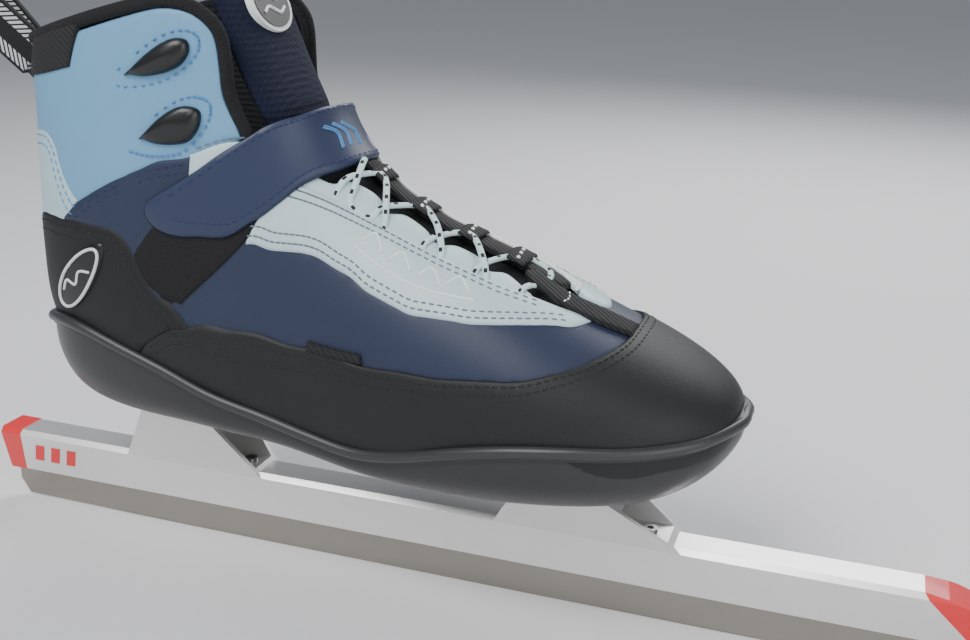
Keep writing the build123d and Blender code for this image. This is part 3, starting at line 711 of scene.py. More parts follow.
# ------------------------------------------------------------------ outlines of the skate
TOE_EDGE = [(12.3, 63), (12.25, 71), (12.15, 77), (12, 83), (11.85, 86), (11.55, 90), (11.05, 92),
            (10.55, 95), (10, 97), (9.3, 101), (8.7, 102), (8.05, 105), (7.35, 107), (6.65, 111), (6, 116),
            (5.5, 124), (5.1, 133), (4.75, 145), (4.55, 156), (4.47, 165), (4.44, 175), (4.44, 180)]
HEEL_EDGE = [(11.62, 88), (11.75, 89), (12.05, 90), (12.45, 90), (13, 90), (13.5, 90), (14, 89),
             (14.45, 87), (14.8, 84), (15.15, 79), (15.65, 69), (15.95, 60), (16.25, 50), (16.5, 35),
             (16.65, 0)]
EYE_LOW = [(11.4, 111), (11.2, 113), (10.85, 115), (10.45, 119), (10.15, 122), (9.85, 124), (9.5, 125),
           (9.15, 126), (8.85, 125), (8.55, 125), (8.25, 125), (8, 125), (7.65, 127), (7.3, 129),
           (6.95, 131), (6.5, 136), (6, 143), (5.65, 149), (5.4, 153), (5.25, 158), (5.13, 164)]
EYE_UP = [(11.4, 134), (10.6, 141), (9.85, 147), (8.95, 153), (8.15, 155.5), (7.4, 156), (6.7, 156.5),
          (6, 160), (5.65, 162), (5.4, 164), (5.13, 164)]
SCALLOP = [(10.9, 145), (10.2, 151), (9.9, 159), (9.45, 165), (9.15, 166), (8.9, 162), (8.6, 168),
           (8.2, 167.5), (7.9, 163), (7.6, 168), (7.2, 167.5), (6.95, 162), (6.65, 166), (6.15, 161)]
BAND_TOP = [(13.4, 128), (14.5, 110), (15.25, 100), (15.5, 94), (15.75, 88), (15.9, 80), (15.97, 74),
            (16.02, 69), (16.02, 62)]
CUFF_FRONT = [(13.35, 129), (14.45, 127), (15.6, 124), (16.45, 123), (17.2, 122), (17.65, 121),
              (18.15, 119), (18.65, 115), (18.95, 110), (19.12, 104)]
CUFF_TOP = [(19.12, 104), (19.2, 96), (19.2, 70), (19.2, 35), (19.2, 0)]
TENDON = [(16.02, 70), (16.15, 68), (16.55, 64), (17, 60), (17.35, 57.5), (17.65, 53), (17.85, 46),
          (17.97, 34), (18.05, 18), (18.08, 0)]
STRAP_UP = [(14.42, 96), (14.36, 98), (14.15, 103), (13.85, 111), (13.65, 118), (13.45, 124), (13.15, 132),
            (12.95, 138), (12.6, 145), (12.15, 154), (11.8, 167), (11.6, 182), (11.75, 199), (12.2, 216),
            (12.7, 230), (12.95, 239)]
STRAP_LOW = [(14.05, 94.2), (13.75, 95), (13.35, 97), (12.9, 100), (12.4, 104), (11.95, 107.5), (11.7, 111),
             (11.5, 116), (11.3, 121), (11.05, 129), (10.8, 138), (10.5, 147), (10.15, 158), (9.92, 171),
             (9.85, 185), (10.0, 199), (10.6, 216), (11.2, 230), (11.6, 239)]
LACE_PATH = [(10.0, 148, 0.2), (9.98, 157, 2.0), (9.6, 171, 2.4), (9.42, 179, 2.6), (9.2, 175, 3.2),
             (9.0, 166, 4.0), (8.85, 157, 2.2), (8.82, 150, .2), (8.1, 152, .2), (8.08, 159, 2.0),
             (7.75, 173, 2.4), (7.52, 179, 2.6), (7.3, 173, 3.2), (7.1, 165, 4.0), (6.95, 159, 2.2),
             (6.9, 152, .2), (6.35, 154, .2), (6.3, 162, 1.8), (6.05, 170, 1.5), (6.05, 184, 1.5),
             (6.45, 186, 1.9), (6.62, 181, 2.6), (6.85, 172, 2.4), (7.1, 160, 1.9), (7.15, 153, .2),
             (7.72, 151.4, .2), (7.76, 159, 2.0), (7.95, 168, 4.0), (8.2, 175, 3.2), (8.45, 180, 2.6),
             (8.65, 172, 2.4), (9.05, 160, 1.9), (9.1, 152, .2), (9.65, 149, .2), (9.68, 158, 2.0),
             (9.75, 168, 4.4), (9.85, 174, 3.4)]
HOOKS = ([(18.0, 90), (18.22, 95), (18.36, 101), (18.34, 106), (18.12, 110), (17.75, 110.5), (17.5, 107.5),
         (17.52, 102), (17.72, 95)], [(16.25, 94), (16.4, 100), (16.36, 106), (16.1, 111), (15.65, 115),
         (15.15, 114.5), (14.98, 110.5), (15.3, 105), (15.8, 98.5)])

# Rim of the sole, heel to toe: x, half width, rim height
SOLE = [(-168, 6, 94), (-164.5, 16.5, 95.5), (-159, 23, 97.5), (-149, 29.5, 99), (-138, 32.8, 97.8),
        (-122, 34.5, 93), (-104, 35, 87), (-84, 34.5, 79), (-62, 34.6, 74), (-42, 36.4, 70.2),
        (-24, 38.8, 68.2), (-7, 41.8, 70.8), (13, 45.8, 77), (33, 47.4, 81.8), (52, 45.8, 84),
        (70, 41, 84.5), (84, 34.6, 85.4), (94, 26.8, 86.3), (101, 17.5, 87.4), (105.5, 8, 88.2)]


def oval(centre: Spot, reach: Spot, count: int = 20) -> list[Spot]:
    """Closed oval of (section, degrees) spots.

    Args:
        centre: Its middle.
        reach: Half its size in sections and in degrees.
        count: Number of spots round it.

    Returns:
        The spots, with the first one again at the end.
    """
    angles = [2 * math.pi * k / count for k in range(count + 1)]
    return [(centre[0] + reach[0] * math.cos(a), centre[1] + reach[1] * math.sin(a)) for a in angles]


class Side(Enum):
    """The two sides of the boot."""

    LATERAL = "lateral"
    MEDIAL = "medial"

    @property
    def sign(self) -> int:
        """1 on the lateral side, -1 on the medial side."""
        return 1 if self is Side.LATERAL else -1

    def over(self, run: Sequence[Spot]) -> list[Spot]:
        """A lateral run carried over the instep to this side, in the same order."""
        return list(run) if self is Side.LATERAL else mirrored(run)[::-1]

    def behind(self, run: Sequence[Spot]) -> list[Spot]:
        """A lateral run carried round the heel to this side, in the same order."""
        return [(s, self.sign * v) for s, v in run]


@dataclass
class SubAssembly:
    """What every sub-assembly works with.

    Attributes:
        nodes: The frame's CAD nodes by name.
        palette: Source of materials.
        boot: The surface that panels and threads lie on.
    """

    nodes: dict[str, bpy.types.Object]
    palette: Palette
    boot: BootSurface

    def tie(self, made: bpy.types.Object, body: str = "boot", nodes: Sequence[str] = ()) -> bpy.types.Object:
        """Let a piece ride on a body in place of CAD nodes.

        Args:
            made: The finished piece.
            body: The moving body that carries it.
            nodes: CAD nodes it stands for.

        Returns:
            The same piece.
        """
        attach(made, body)
        if nodes:
            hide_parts(*nodes)
        LOG.info("%s on %s, for %s", made.name, body, ", ".join(nodes) or "no node")
        return made

    def panel(self, panel: Panel, body: str = "boot", nodes: Sequence[str] = ()) -> bpy.types.Object:
        """Build a panel and let it stand for CAD nodes."""
        return self.tie(panel.build(self.boot, self.palette), body, nodes)

    def stitch(self, name: str, runs: list[list[Spot]], finish: Finish, body: str = "boot", **facts: object) -> None:
        """Build rows of stitches; the facts are Stitching's other fields."""
        self.tie(Stitching(name, runs, finish, **facts).build(self.boot, self.palette), body)

    def cord(self, name: str, rows: Sequence[tuple[float, float, float]], radius: float, finish: Finish,
             nodes: Sequence[str] = (), closed: bool = False, flat: float = 1.0,
             material: bpy.types.Material | None = None, step: float = 0.7, corner: bool = False) -> bpy.types.Object:
        """A cord on the boot.

        Args:
            name: Piece name.
            rows: (section, degrees, lift) spots.
            radius: Half its width in millimetres.
            finish: Its finish.
            nodes: CAD nodes it stands for.
            closed: Whether its end joins its start.
            flat: Height over width.
            material: A material of its own, in place of the finish.
            step: Distance between its rings in millimetres.
            corner: Whether its bends are cut to keep it from swinging wide.

        Returns:
            The finished piece.
        """
        spots = np.array(rows, float)
        points = self.boot.points(spots[:, 0], np.radians(spots[:, 1]), spots[:, 2])
        above = self.boot.points(spots[:, 0], np.radians(spots[:, 1]), spots[:, 2] + 1.0)
        both = np.hstack([points, above - points])
        joined = rounded(cut_corners(both) if corner else both, step)
        if closed:
            joined = joined[:-1]
        skin = material or self.palette.of(finish)
        return self.tie(tube_along(name, joined[:, :3], radius, skin, closed, flat, joined[:, 3:]), "boot", nodes)

    def beads(self, name: str, spots: Sequence[Spot], radius: float, lift: float) -> None:
        """Small raised white stitches at (section, degrees) spots, with a radius and a lift in millimetres."""
        mesh = bmesh.new()
        for s, v in spots:
            at = Vector(self.boot.points(np.array([s]), np.radians(np.array([v])), lift)[0]) * MM
            bmesh.ops.create_icosphere(mesh, subdivisions=2, radius=radius * MM, matrix=Matrix.Translation(at))
        self.tie(to_object(name, mesh, self.palette.of(self.palette.white)))

    def dress(self, names: Sequence[str], finish: Finish, material: bpy.types.Material | None = None) -> None:
        """Give CAD nodes a finish, or a material of their own."""
        for name in names:
            data = self.nodes[name].data
            data.materials.clear()
            data.materials.append(material or self.palette.of(finish))
            LOG.info("%s dressed in %s", name, data.materials[0].name)


@dataclass
class Upper(SubAssembly):
    """Leather panels of the boot with their threads and ornament.

    Attributes:
        overlap: How far the navy panels run in under their neighbours, in degrees.
        first_row: Distance of the first row of stitches from an edge in millimetres.
        second_row: Distance of the second row.
        piping: Radius of the white piping at the throat.
        stroke: Radius of the ornament's cord.
    """

    overlap: float = 3.0
    first_row: float = 2.0
    second_row: float = 4.2
    piping: float = 0.7
    stroke: float = 0.42

    def low_panels(self) -> None:
        """Toe cap, heel cup and the navy vamp between them."""
        p = self.palette
        toe = [TOE_EDGE + mirrored(TOE_EDGE)[1:], [(12.3, 297), (12.3, 335)], [(12.3, 335), (0.0, 335)],
               [(0.0, 335), (0.0, 25)], [(0.0, 25), (12.3, 25)], [(12.3, 25), (12.3, 63)]]
        self.panel(Panel("toe_cap", toe, p.black, 0.9, 1.0), nodes=("toe_panel",))
        heel_side = [(12.26, 25), (12.26, 63), (12.2, 71), (12.1, 77), (11.95, 83), (11.62, 88)]
        heel = [heel_side, HEEL_EDGE + around_back(HEEL_EDGE)[1:], around_back(heel_side), [(12.26, -25), (12.26, 25)]]
        self.panel(Panel("heel_cup", heel, p.heel, 0.8, 1.1), nodes=("heel_panel",))
        low = [(s, v - 3.5) for s, v in TOE_EDGE[2:-2]] + [(4.3, 176)]
        up = [(12.3, 118)] + [(s, v + self.overlap) for s, v in EYE_LOW[:-2]] + [(5.3, 163)]
        vamp = [low + mirrored(low), [mirrored(low)[-1], mirrored(up)[-1]], mirrored(up)[::-1],
                [(5.3, 197), (5.3, 163)], up[::-1], [up[0], low[0]]]
        self.panel(Panel("vamp", vamp, p.navy, -0.3, 1.0), nodes=("vamp_panel",))

    def side_panels(self) -> None:
        """Eyestays and ankle bands."""
        p = self.palette
        under_heel = [(12.4, 87)] + [(s, v - self.overlap) for s, v in HEEL_EDGE[4:-3]] + [(16.02, 54)]
        for side in Side:
            over = side.over
            eyestay = [over(EYE_LOW), over(EYE_UP)[::-1], over([EYE_UP[0], EYE_LOW[0]])]
            name = f"eyestay_{side.value}"
            self.panel(Panel(name, eyestay, p.ice, 0.5, 1.2), nodes=(name,))
            band = [over(BAND_TOP)[::-1], over([BAND_TOP[0], (12.8, 130)]),
                    over([(12.8, 130), (12.45, 112), (12.4, 87)]), over(under_heel), over([(16.02, 54), (16.02, 62)])]
            name = f"ankle_band_{side.value}"
            self.panel(Panel(name, band, p.navy, 0.3, 1.1), nodes=(name,))

    def throat(self) -> None:
        """Tip, scalloped facing, webbing strip and piping round the laces."""
        p = self.palette
        tip = [[(6.4, 198), (6.2, 192), (5.75, 184), (5.4, 178.5)], [(5.4, 178.5), (5.1, 181), (5.0, 186), (5.1, 196)],
               [(5.1, 196), (6.4, 206)], [(6.4, 206), (6.4, 198)]]
        self.panel(Panel("throat_tip", tip, p.ice, 0.5, 1.2))
        facing = [[(s, v - self.overlap) for s, v in EYE_UP[:8]], [(6.0, 157), (6.15, 161)], SCALLOP[::-1],
                  [(10.9, 145), (11.4, 131)]]
        self.panel(Panel("lace_facing_lateral", facing, p.ice, -0.1, 1.1), nodes=("lace_facing_lateral",))
        strip = [[(5.75, 183), (5.9, 178), (6.6, 177), (7.5, 177), (8.5, 177), (9.5, 177), (10.8, 177)],
                 [(10.8, 177), (10.8, 192)],
                 [(10.8, 192), (9.4, 192), (8.2, 192), (7.0, 192), (6.2, 191), (5.7, 187), (5.75, 183)]]
        self.panel(Panel("medial_strip", strip, p.webbing, 0.3, 1.2), nodes=("lace_facing_medial",))
        piping = [(10.8, 192.5, 1.9), (9.4, 192.5, 1.9), (8.2, 192.5, 1.9), (7.0, 192.5, 1.9), (6.2, 191.5, 1.9),
                  (5.7, 188, 1.8), (5.58, 184, 1.8), (5.6, 180, 1.5)]
        self.cord("throat_piping", piping, self.piping, p.white)

    def shaft(self) -> None:
        """Cuff, tendon guard, the small tab and the strap's loop tape."""
        p = self.palette
        low = [(13.35, 129), (13.9, 113), (14.5, 107)] + [(s - 0.1, v) for s, v in BAND_TOP[2:]]
        low += [(16.0, 40), (16.0, 0)]
        cuff = [CUFF_FRONT, CUFF_TOP + around_back(CUFF_TOP)[1:], around_back(CUFF_FRONT), [(s, -v) for s, v in low],
                low[::-1]]
        self.panel(Panel("ankle_cuff", cuff, p.sky, -0.4, 1.1, crown=0.5), nodes=("cuff_panel",))
        tendon = [TENDON + around_back(TENDON)[1:],
                  [(16.02, -70), (15.8, -55), (16.2, -30), (16.3, 0), (16.2, 30), (15.8, 55), (16.02, 70)]]
        self.panel(Panel("tendon_guard", tendon, p.pale, 0.35, 1.0), nodes=("tendon_panel",))
        tab = [[(13.25, 129), (13.9, 121), (14.55, 110)], [(14.55, 110), (13.9, 108)],
               [(13.9, 108), (13.1, 121), (12.9, 130)], [(12.9, 130), (13.25, 129)]]
        self.panel(Panel("band_tab", tab, p.ice, 1.2, 1.0))
        patch = [[(13.7, 89), (13.7, 98), (12.9, 112), (11.9, 124)], [(11.9, 124), (11.35, 118)],
                 [(11.35, 118), (11.45, 110), (11.7, 100), (12.0, 90.5)], [(12.0, 90.5), (12.8, 89), (13.7, 89)]]
        self.panel(Panel("loop_tape", patch, p.fuzz, .8, .8), nodes=("loop_patch",))

    def stitches(self) -> None:
        """Thread along the panel edges."""
        p = self.palette
        near, far = self.first_row, self.second_row
        toe = TOE_EDGE[1:] + mirrored(TOE_EDGE)[1:-1]
        self.stitch("toe_stitches", [toe], p.thread_black, offsets=(near, 4.6), lift=1.95)
        heel = HEEL_EDGE[1:] + around_back(HEEL_EDGE)[1:-1]
        self.stitch("heel_stitches", [heel], p.thread_black, offsets=(-near, -4.4), lift=1.95)
        for side in Side:
            sign, over = side.sign, side.over
            self.stitch(f"eyestay_low_stitches_{side.value}", [over(EYE_LOW[:-2])], p.thread_grey,
                        offsets=(-near * sign, -far * sign), lift=1.75)
            self.stitch(f"eyestay_up_stitches_{side.value}", [over(EYE_UP[:-3])], p.thread_grey,
                        offsets=(near * sign, far * sign), lift=1.75)
            self.stitch(f"band_stitches_{side.value}", [over(BAND_TOP[1:])], p.thread_navy,
                        offsets=(-near * sign, -4.0 * sign), lift=1.45)
        self.stitch("tendon_stitches", [TENDON + around_back(TENDON)[1:]], p.thread_sky, offsets=(-near, -far),
                    lift=1.4)
        self.stitch("tab_stitches", [[(13.2, 128), (13.85, 120), (14.45, 110.5)]], p.thread_grey, offsets=(1.6,),
                    lift=2.25)

    def ornament(self) -> None:
        """Plain raised line and chevrons on the eyestays."""
        strokes = [[(9.25, 137), (8.6, 136.2), (7.9, 136.8), (7.3, 139.5), (6.95, 142)]]
        corners = ((9.1, 141), (8.55, 140.5), (8.0, 141), (7.5, 143))
        strokes += [[(s, v), (s - .2, v + 6.5), (s - .42, v + .8)] for s, v in corners]
        for side in Side:
            for k, stroke in enumerate(strokes):
                rows = [(s, v, 1.75) for s, v in side.over(stroke)]
                self.cord(f"eyestay_ornament_{side.value}_{k}", rows, self.stroke, self.palette.white)

    def build(self) -> None:
        """Build the upper."""
        self.low_panels()
        self.side_panels()
        self.throat()
        self.shaft()
        self.stitches()
        self.ornament()


@dataclass
class Closure(SubAssembly):
    """Ankle strap, lace, lace loops and hooks.

    Attributes:
        strap_thick: Thickness of the strap in millimetres.
        strap_lift: Lift of the strap's lower face.
        strap_seam: Distance of its stitches from its edge.
        lace_radius: Half the width of the lace.
        hook_seam: Distance of the stitched ring from a hook.
        hook_crown: How far a hook swells in its middle.
        loop_places: Sections at which the lace loops sit.
    """

    strap_thick: float = 1.5
    strap_lift: float = 1.75
    strap_seam: float = 3.0
    lace_radius: float = 1.2
    hook_seam: float = 2.6
    hook_crown: float = 3.0
    loop_places: tuple[float, ...] = (6.62, 7.52, 8.45, 9.42)

    def strap(self) -> None:
        """Strap with its stitches, plain strokes and root."""
        p = self.palette
        end = [(14.42, 96), (14.42, 94.8), (14.28, 94.2), (14.05, 94.2)]
        outline = [STRAP_UP, [STRAP_UP[-1], STRAP_LOW[-1]], STRAP_LOW[::-1], end[::-1]]
        self.panel(Panel("ankle_strap", outline, p.strap, self.strap_lift, self.strap_thick, closed=True), "strap",
                   ("instep_strap", "strap_hook_patch"))
        for name, edge, seam in (("up", STRAP_UP, self.strap_seam), ("low", STRAP_LOW, -self.strap_seam)):
            self.stitch(f"strap_stitches_{name}", [edge[2:-2]], p.thread_navy, "strap", offsets=(seam,), lift=3.25)
        marks = [[(11.2, 163), (10.8, 169), (10.4, 167)], [(11.1, 169), (10.7, 175), (10.32, 173)],
                 [(11.0, 175), (10.62, 181), (10.25, 179)]]
        self.stitch("strap_emblem", marks, p.thread_sky, "strap", offsets=(-.5, .5), lift=3.3, pitch=1.6, length=1.6,
                    radius=.4)
        root = [[(12.0, 226), (12.0, 262)], [(12.0, 262), (13.1, 262)], [(13.1, 262), (13.1, 226)],
                [(13.1, 226), (12.0, 226)]]
        self.panel(Panel("strap_root", root, p.strap, 1.5, 1.2), nodes=("strap_anchor",))

    def lace(self) -> None:
        """The lace along its route."""
        self.cord("lace_cord", LACE_PATH, self.lace_radius, self.palette.white, ("lace",), material=self.braid(),
                  flat=.85, corner=True)

    def braid(self) -> bpy.types.Material:
        """White braid with dark flecks along its length."""
        graph = Graph("lace_braid")
        graph.fix(Roughness=0.65)
        uv = graph.node("ShaderNodeUVMap", {"uv_map": "UVMap"}, {})
        along = graph.node("ShaderNodeSeparateXYZ", {}, {"Vector": uv}, "X")
        turn = graph.node("ShaderNodeSeparateXYZ", {}, {"Vector": uv}, "Y")
        fleck = ((along % 6.0) < 1.7) * ((turn % 0.5) > 0.18) * ((turn % 0.5) < 0.36)
        graph.feed("Base Color", graph.mix(fleck, linear((.80, .88, .89)), linear((.05, .06, .07))))
        right, left = (along * 2.2 + turn * 6.0) % 1.0, (along * 2.2 - turn * 6.0) % 1.0
        graph.bump(abs(right - 0.5) + abs(left - 0.5), 0.5, 0.0003)
        return graph.material

    def hooks(self) -> None:
        """Moulded lace hooks with a stitched ring round each."""
        p = self.palette
        for k, (hook, level) in enumerate(zip(HOOKS, ("upper", "lower")), 1):
            for side in Side:
                outline = [side.behind(hook + hook[:1])]
                self.panel(Panel(f"hook_{side.value}_{level}", outline, p.gloss, 0.6, 2.6, crown=self.hook_crown,
                                 pitch=1.4), nodes=(f"lace_hook_{side.value}_{level}",))
                self.stitch(f"hook_stitches_{side.value}_{k}", outline, p.thread_sky,
                            offsets=(-self.hook_seam * side.sign,), lift=1.45, pitch=2.3, length=1.6)

    def loops(self) -> None:
        """Webbing lace loops with white bar tacks."""
        dots = []
        for k, s in enumerate(self.loop_places, 1):
            shape = [[(s - .17, 173), (s - .19, 184), (s - .17, 192)], [(s - .17, 192), (s + .17, 192)],
                     [(s + .17, 192), (s + .19, 184), (s + .17, 173)], [(s + .17, 173), (s - .17, 173)]]
            self.panel(Panel(f"lace_loop_{k}", shape, self.palette.webbing, 2.7, .9, closed=True, pitch=1.6),
                       nodes=(f"medial_loop_{k}",))
            dots += [(s + .03 * (v - 181) / 5, v) for v in (176.5, 181, 186)]
        self.beads("loop_dots", dots, .75, 3.65)

    def build(self) -> None:
        """Build the closure."""
        self.strap()
        self.lace()
        self.hooks()
        self.loops()


@dataclass
class SoftParts(SubAssembly):
    """Collar, lining, tongue, badges, tags and pull loop.

    Attributes:
        collar_radius: Half the width of the collar roll in millimetres.
        badge_centre: Middle of the heel badge in sections and degrees.
        tongue_thick: Half the thickness of the tongue's pad.
        tongue_sides: Points round one section of the pad.
        tongue_path: x, z and half width of the pad's sections, upwards.
        badge_spot: Middle of the tongue badge.
        badge_reach: Half width and half height of the tongue badge.
    """

    collar_radius: float = 2.3
    badge_centre: Spot = (14.5, 64)
    tongue_thick: float = 3.6
    tongue_sides: int = 40
    tongue_path: tuple[tuple[float, float, float], ...] = (
        (-55.5, 171, 20), (-60, 180, 23), (-66, 192, 24), (-72, 206, 24), (-78, 220, 23), (-83.5, 234, 18),
        (-85.5, 238.5, 13))
    badge_spot: tuple[float, float, float] = (-72.0, 0, 215.0)
    badge_reach: Spot = (13.5, 10.5)

    def collar(self) -> None:
        """Fuzzy roll round the opening."""
        front = [(13.0, 131, 0.2), (13.6, 130.5, 0.2), (14.45, 128.5, 0.2), (15.6, 126, 0.2), (16.45, 125, 0.2),
                 (17.2, 124, 0.2), (17.65, 123, 0.2), (18.15, 121, 0.2), (18.65, 117, 0.2), (19.0, 112, 0.2),
                 (19.25, 104, 0.2), (19.32, 96, 0.2)]
        half = front + [(19.34, v, 0.2 if v > 30 else -1.4) for v in range(84, -1, -12)]
        whole = half + [(s, -v, o) for s, v, o in reversed(half[:-1])]
        self.cord("collar_roll", whole, self.collar_radius, self.palette.fuzz, ("collar_binding",), flat=.8, step=2.0)

    def inner_layers(self) -> None:
        """Lining, foam, stiffeners and boards."""
        p = self.palette
        self.dress(("lining", "ankle_foam", "vamp_backing", "toe_box_stiffener", "heel_counter"), p.lining)
        self.dress(("insole_board", "footbed"), p.board)

    def heel_badges(self) -> None:
        """Oval badge with a pale rim and a plain wave on each side of the heel."""
        p = self.palette
        for side in Side:
            name = f"heel_badge_{side.value}"
            ring = [side.behind(oval(self.badge_centre, (.53, 16.5)))]
            self.panel(Panel(name, ring, p.badge, 1.8, 1.0, pitch=1.5), nodes=(name,))
            rim = [(s, v, 3.0) for s, v in side.behind(oval(self.badge_centre, (.45, 14.0)))]
            self.cord(f"heel_badge_rim_{side.value}", rim, 0.6, p.rim, closed=True)
            wave = side.behind([(14.62, 55), (14.72, 59), (14.42, 63), (14.58, 67), (14.3, 72)])
            self.cord(f"heel_badge_mark_{side.value}", [(s, v, 2.9) for s, v in wave], 0.5, p.rim)

    def tags(self) -> None:
        """Plain side tag, collar tag and toe ribbon."""
        p = self.palette
        tag = [[(9.7, 100.5), (8.75, 105)], [(8.75, 105), (8.7, 102)], [(8.7, 102), (9.68, 97.5)],
               [(9.68, 97.5), (9.7, 100.5)]]
        self.panel(Panel("side_tag", tag, p.webbing, 1.9, .5), nodes=("side_label",))
        label = [[(19.35, 76), (19.35, 44)], [(19.35, 44), (18.8, 31)], [(18.8, 31), (18.62, 69)],
                 [(18.62, 69), (19.35, 76)]]
        self.panel(Panel("collar_tag", label, p.webbing, 1.0, 1.0), nodes=("collar_label",))
        ribbon = [[(6.2, 166), (5.65, 162.5), (5.0, 164), (4.4, 167)], [(4.4, 167), (4.38, 179)],
                  [(4.38, 179), (5.0, 177), (5.65, 174), (6.25, 177)], [(6.25, 177), (6.4, 171), (6.2, 166)]]
        self.panel(Panel("toe_loop_ribbon", ribbon, p.webbing, 2.1, 1.0, pitch=1.8), nodes=("toe_ribbon",))
        self.stitch("ribbon_stitches", [[(5.62, 163.5), (5.56, 168), (5.62, 173)]], p.white, lift=3.2, pitch=1.9,
                    length=1.3)

    def pull_loop(self) -> None:
        """Webbing loop at the heel and the tape that holds it."""
        self.dress(("pull_loop",), self.palette.webbing, self.bordered_webbing())
        self.dress(("pull_loop_anchor",), self.palette.webbing)

    def bordered_webbing(self) -> bpy.types.Material:
        """Black webbing with pale herringbone borders."""
        graph = Graph("loop_webbing")
        graph.fix(Roughness=0.8)
        where = graph.node("ShaderNodeTexCoord", {}, {}, "Object")
        dot = {"operation": "DOT_PRODUCT"}
        across = graph.node("ShaderNodeVectorMath", dot, {0: where, 1: (.66, 0, .75)}, "Value")
        along = graph.node("ShaderNodeVectorMath", dot, {0: where, 1: (-.75, 0, .66)}, "Value")
        middle = -.174 * .66 + .192 * .75
        off = abs(across - middle)
        border = (off > 0.0035) * (off < 0.0078)
        zigzag = ((along * 420.0 + off * 420.0) % 1.0) > 0.4
        graph.feed("Base Color", graph.mix(border * zigzag, linear((.06, .06, .07)), linear((.75, .76, .76))))
        graph.bump((along * 900.0) % 1.0, 0.3, 0.0003)
        return graph.material

    def tongue(self) -> None:
        """Lower tongue and the padded upper tongue."""
        p = self.palette
        low = [[(5.6, 172), (5.8, 160), (6.5, 151), (7.6, 148), (9.5, 140), (11.8, 132)], [(11.8, 132), (11.8, 222)],
               [(11.8, 222), (9.5, 214), (7.6, 207), (6.2, 200), (5.6, 188)], [(5.6, 188), (5.6, 172)]]
        self.panel(Panel("tongue_front", low, p.lining, -5.2, 2.4), nodes=("tongue_lower",))
        rows = rounded(np.array(self.tongue_path), 2.0)
        sides = self.tongue_sides
        mesh = bmesh.new()
        rings = []
        for k, (x, z, half) in enumerate(rows):
            share = k / (len(rows) - 1)
            thick = self.tongue_thick * min(1.0, 0.35 + 5 * share, 0.35 + 6 * (1 - share))
            ring = []
            for j in range(sides):
                a = 2 * math.pi * j / sides
                y = half * np.sign(math.cos(a)) * abs(math.cos(a)) ** 0.75
                out = thick * np.sign(math.sin(a)) * abs(math.sin(a)) ** 0.8
                out -= 1.4 * (y / 24.0) ** 2 * 2
                ring.append(mesh.verts.new(Vector((x + .91 * out, y, z + .41 * out)) * MM))
            rings.append(ring)
        for lower, upper in zip(rings, rings[1:]):
            for j in range(sides):
                mesh.faces.new([lower[j], lower[(j + 1) % sides], upper[(j + 1) % sides], upper[j]])
        mesh.faces.new(rings[0])
        mesh.faces.new(rings[-1][::-1])
        made = to_object("tongue_pad", mesh, p.of(p.mesh))
        self.tie(made, "tongue", ("tongue_upper",))

    def tongue_badge(self) -> None:
        """Oval tongue badge with a raised pale ring and two plain waves."""
        p = self.palette
        turn = Matrix(((0, -.392, .92), (1, 0, 0), (0, .92, .392))).to_4x4()
        turn.translation = Vector(self.badge_spot) * MM
        wide, tall = self.badge_reach
        for name, radius, finish, lift, nodes in (("tongue_badge_plate", 1.0, p.rim, 0.0, ("tongue_badge",)),
                                                  ("tongue_badge_face", .86, p.badge, .35, ())):
            mesh = bmesh.new()
            bmesh.ops.create_cone(mesh, cap_ends=True, segments=64, radius1=radius, radius2=radius * .97, depth=2.2)
            for vert in mesh.verts:
                vert.co = Vector((vert.co.x * wide, vert.co.y * tall, vert.co.z + lift)) * MM
            mesh.transform(turn)
            self.tie(to_object(name, mesh, p.of(finish), smooth=False), "tongue", nodes)
        for k, rise in enumerate((-2.4, 2.4), 1):
            rows = [(-7.2, rise - .6, 1.5), (-3.6, rise + 1.2, 1.5), (0, rise, 1.5), (3.6, rise - 1.2, 1.5),
                    (7.2, rise + .6, 1.5)]
            fine = rounded(np.array(rows), .5)
            points = np.array([turn @ (Vector(q) * MM) for q in fine]) / MM
            self.tie(tube_along(f"tongue_badge_wave_{k}", points, .6, p.of(p.rim)), "tongue")

    def build(self) -> None:
        """Build the soft parts."""
        self.collar()
        self.inner_layers()
        self.tongue()
        self.tongue_badge()
        self.heel_badges()
        self.tags()
        self.pull_loop()


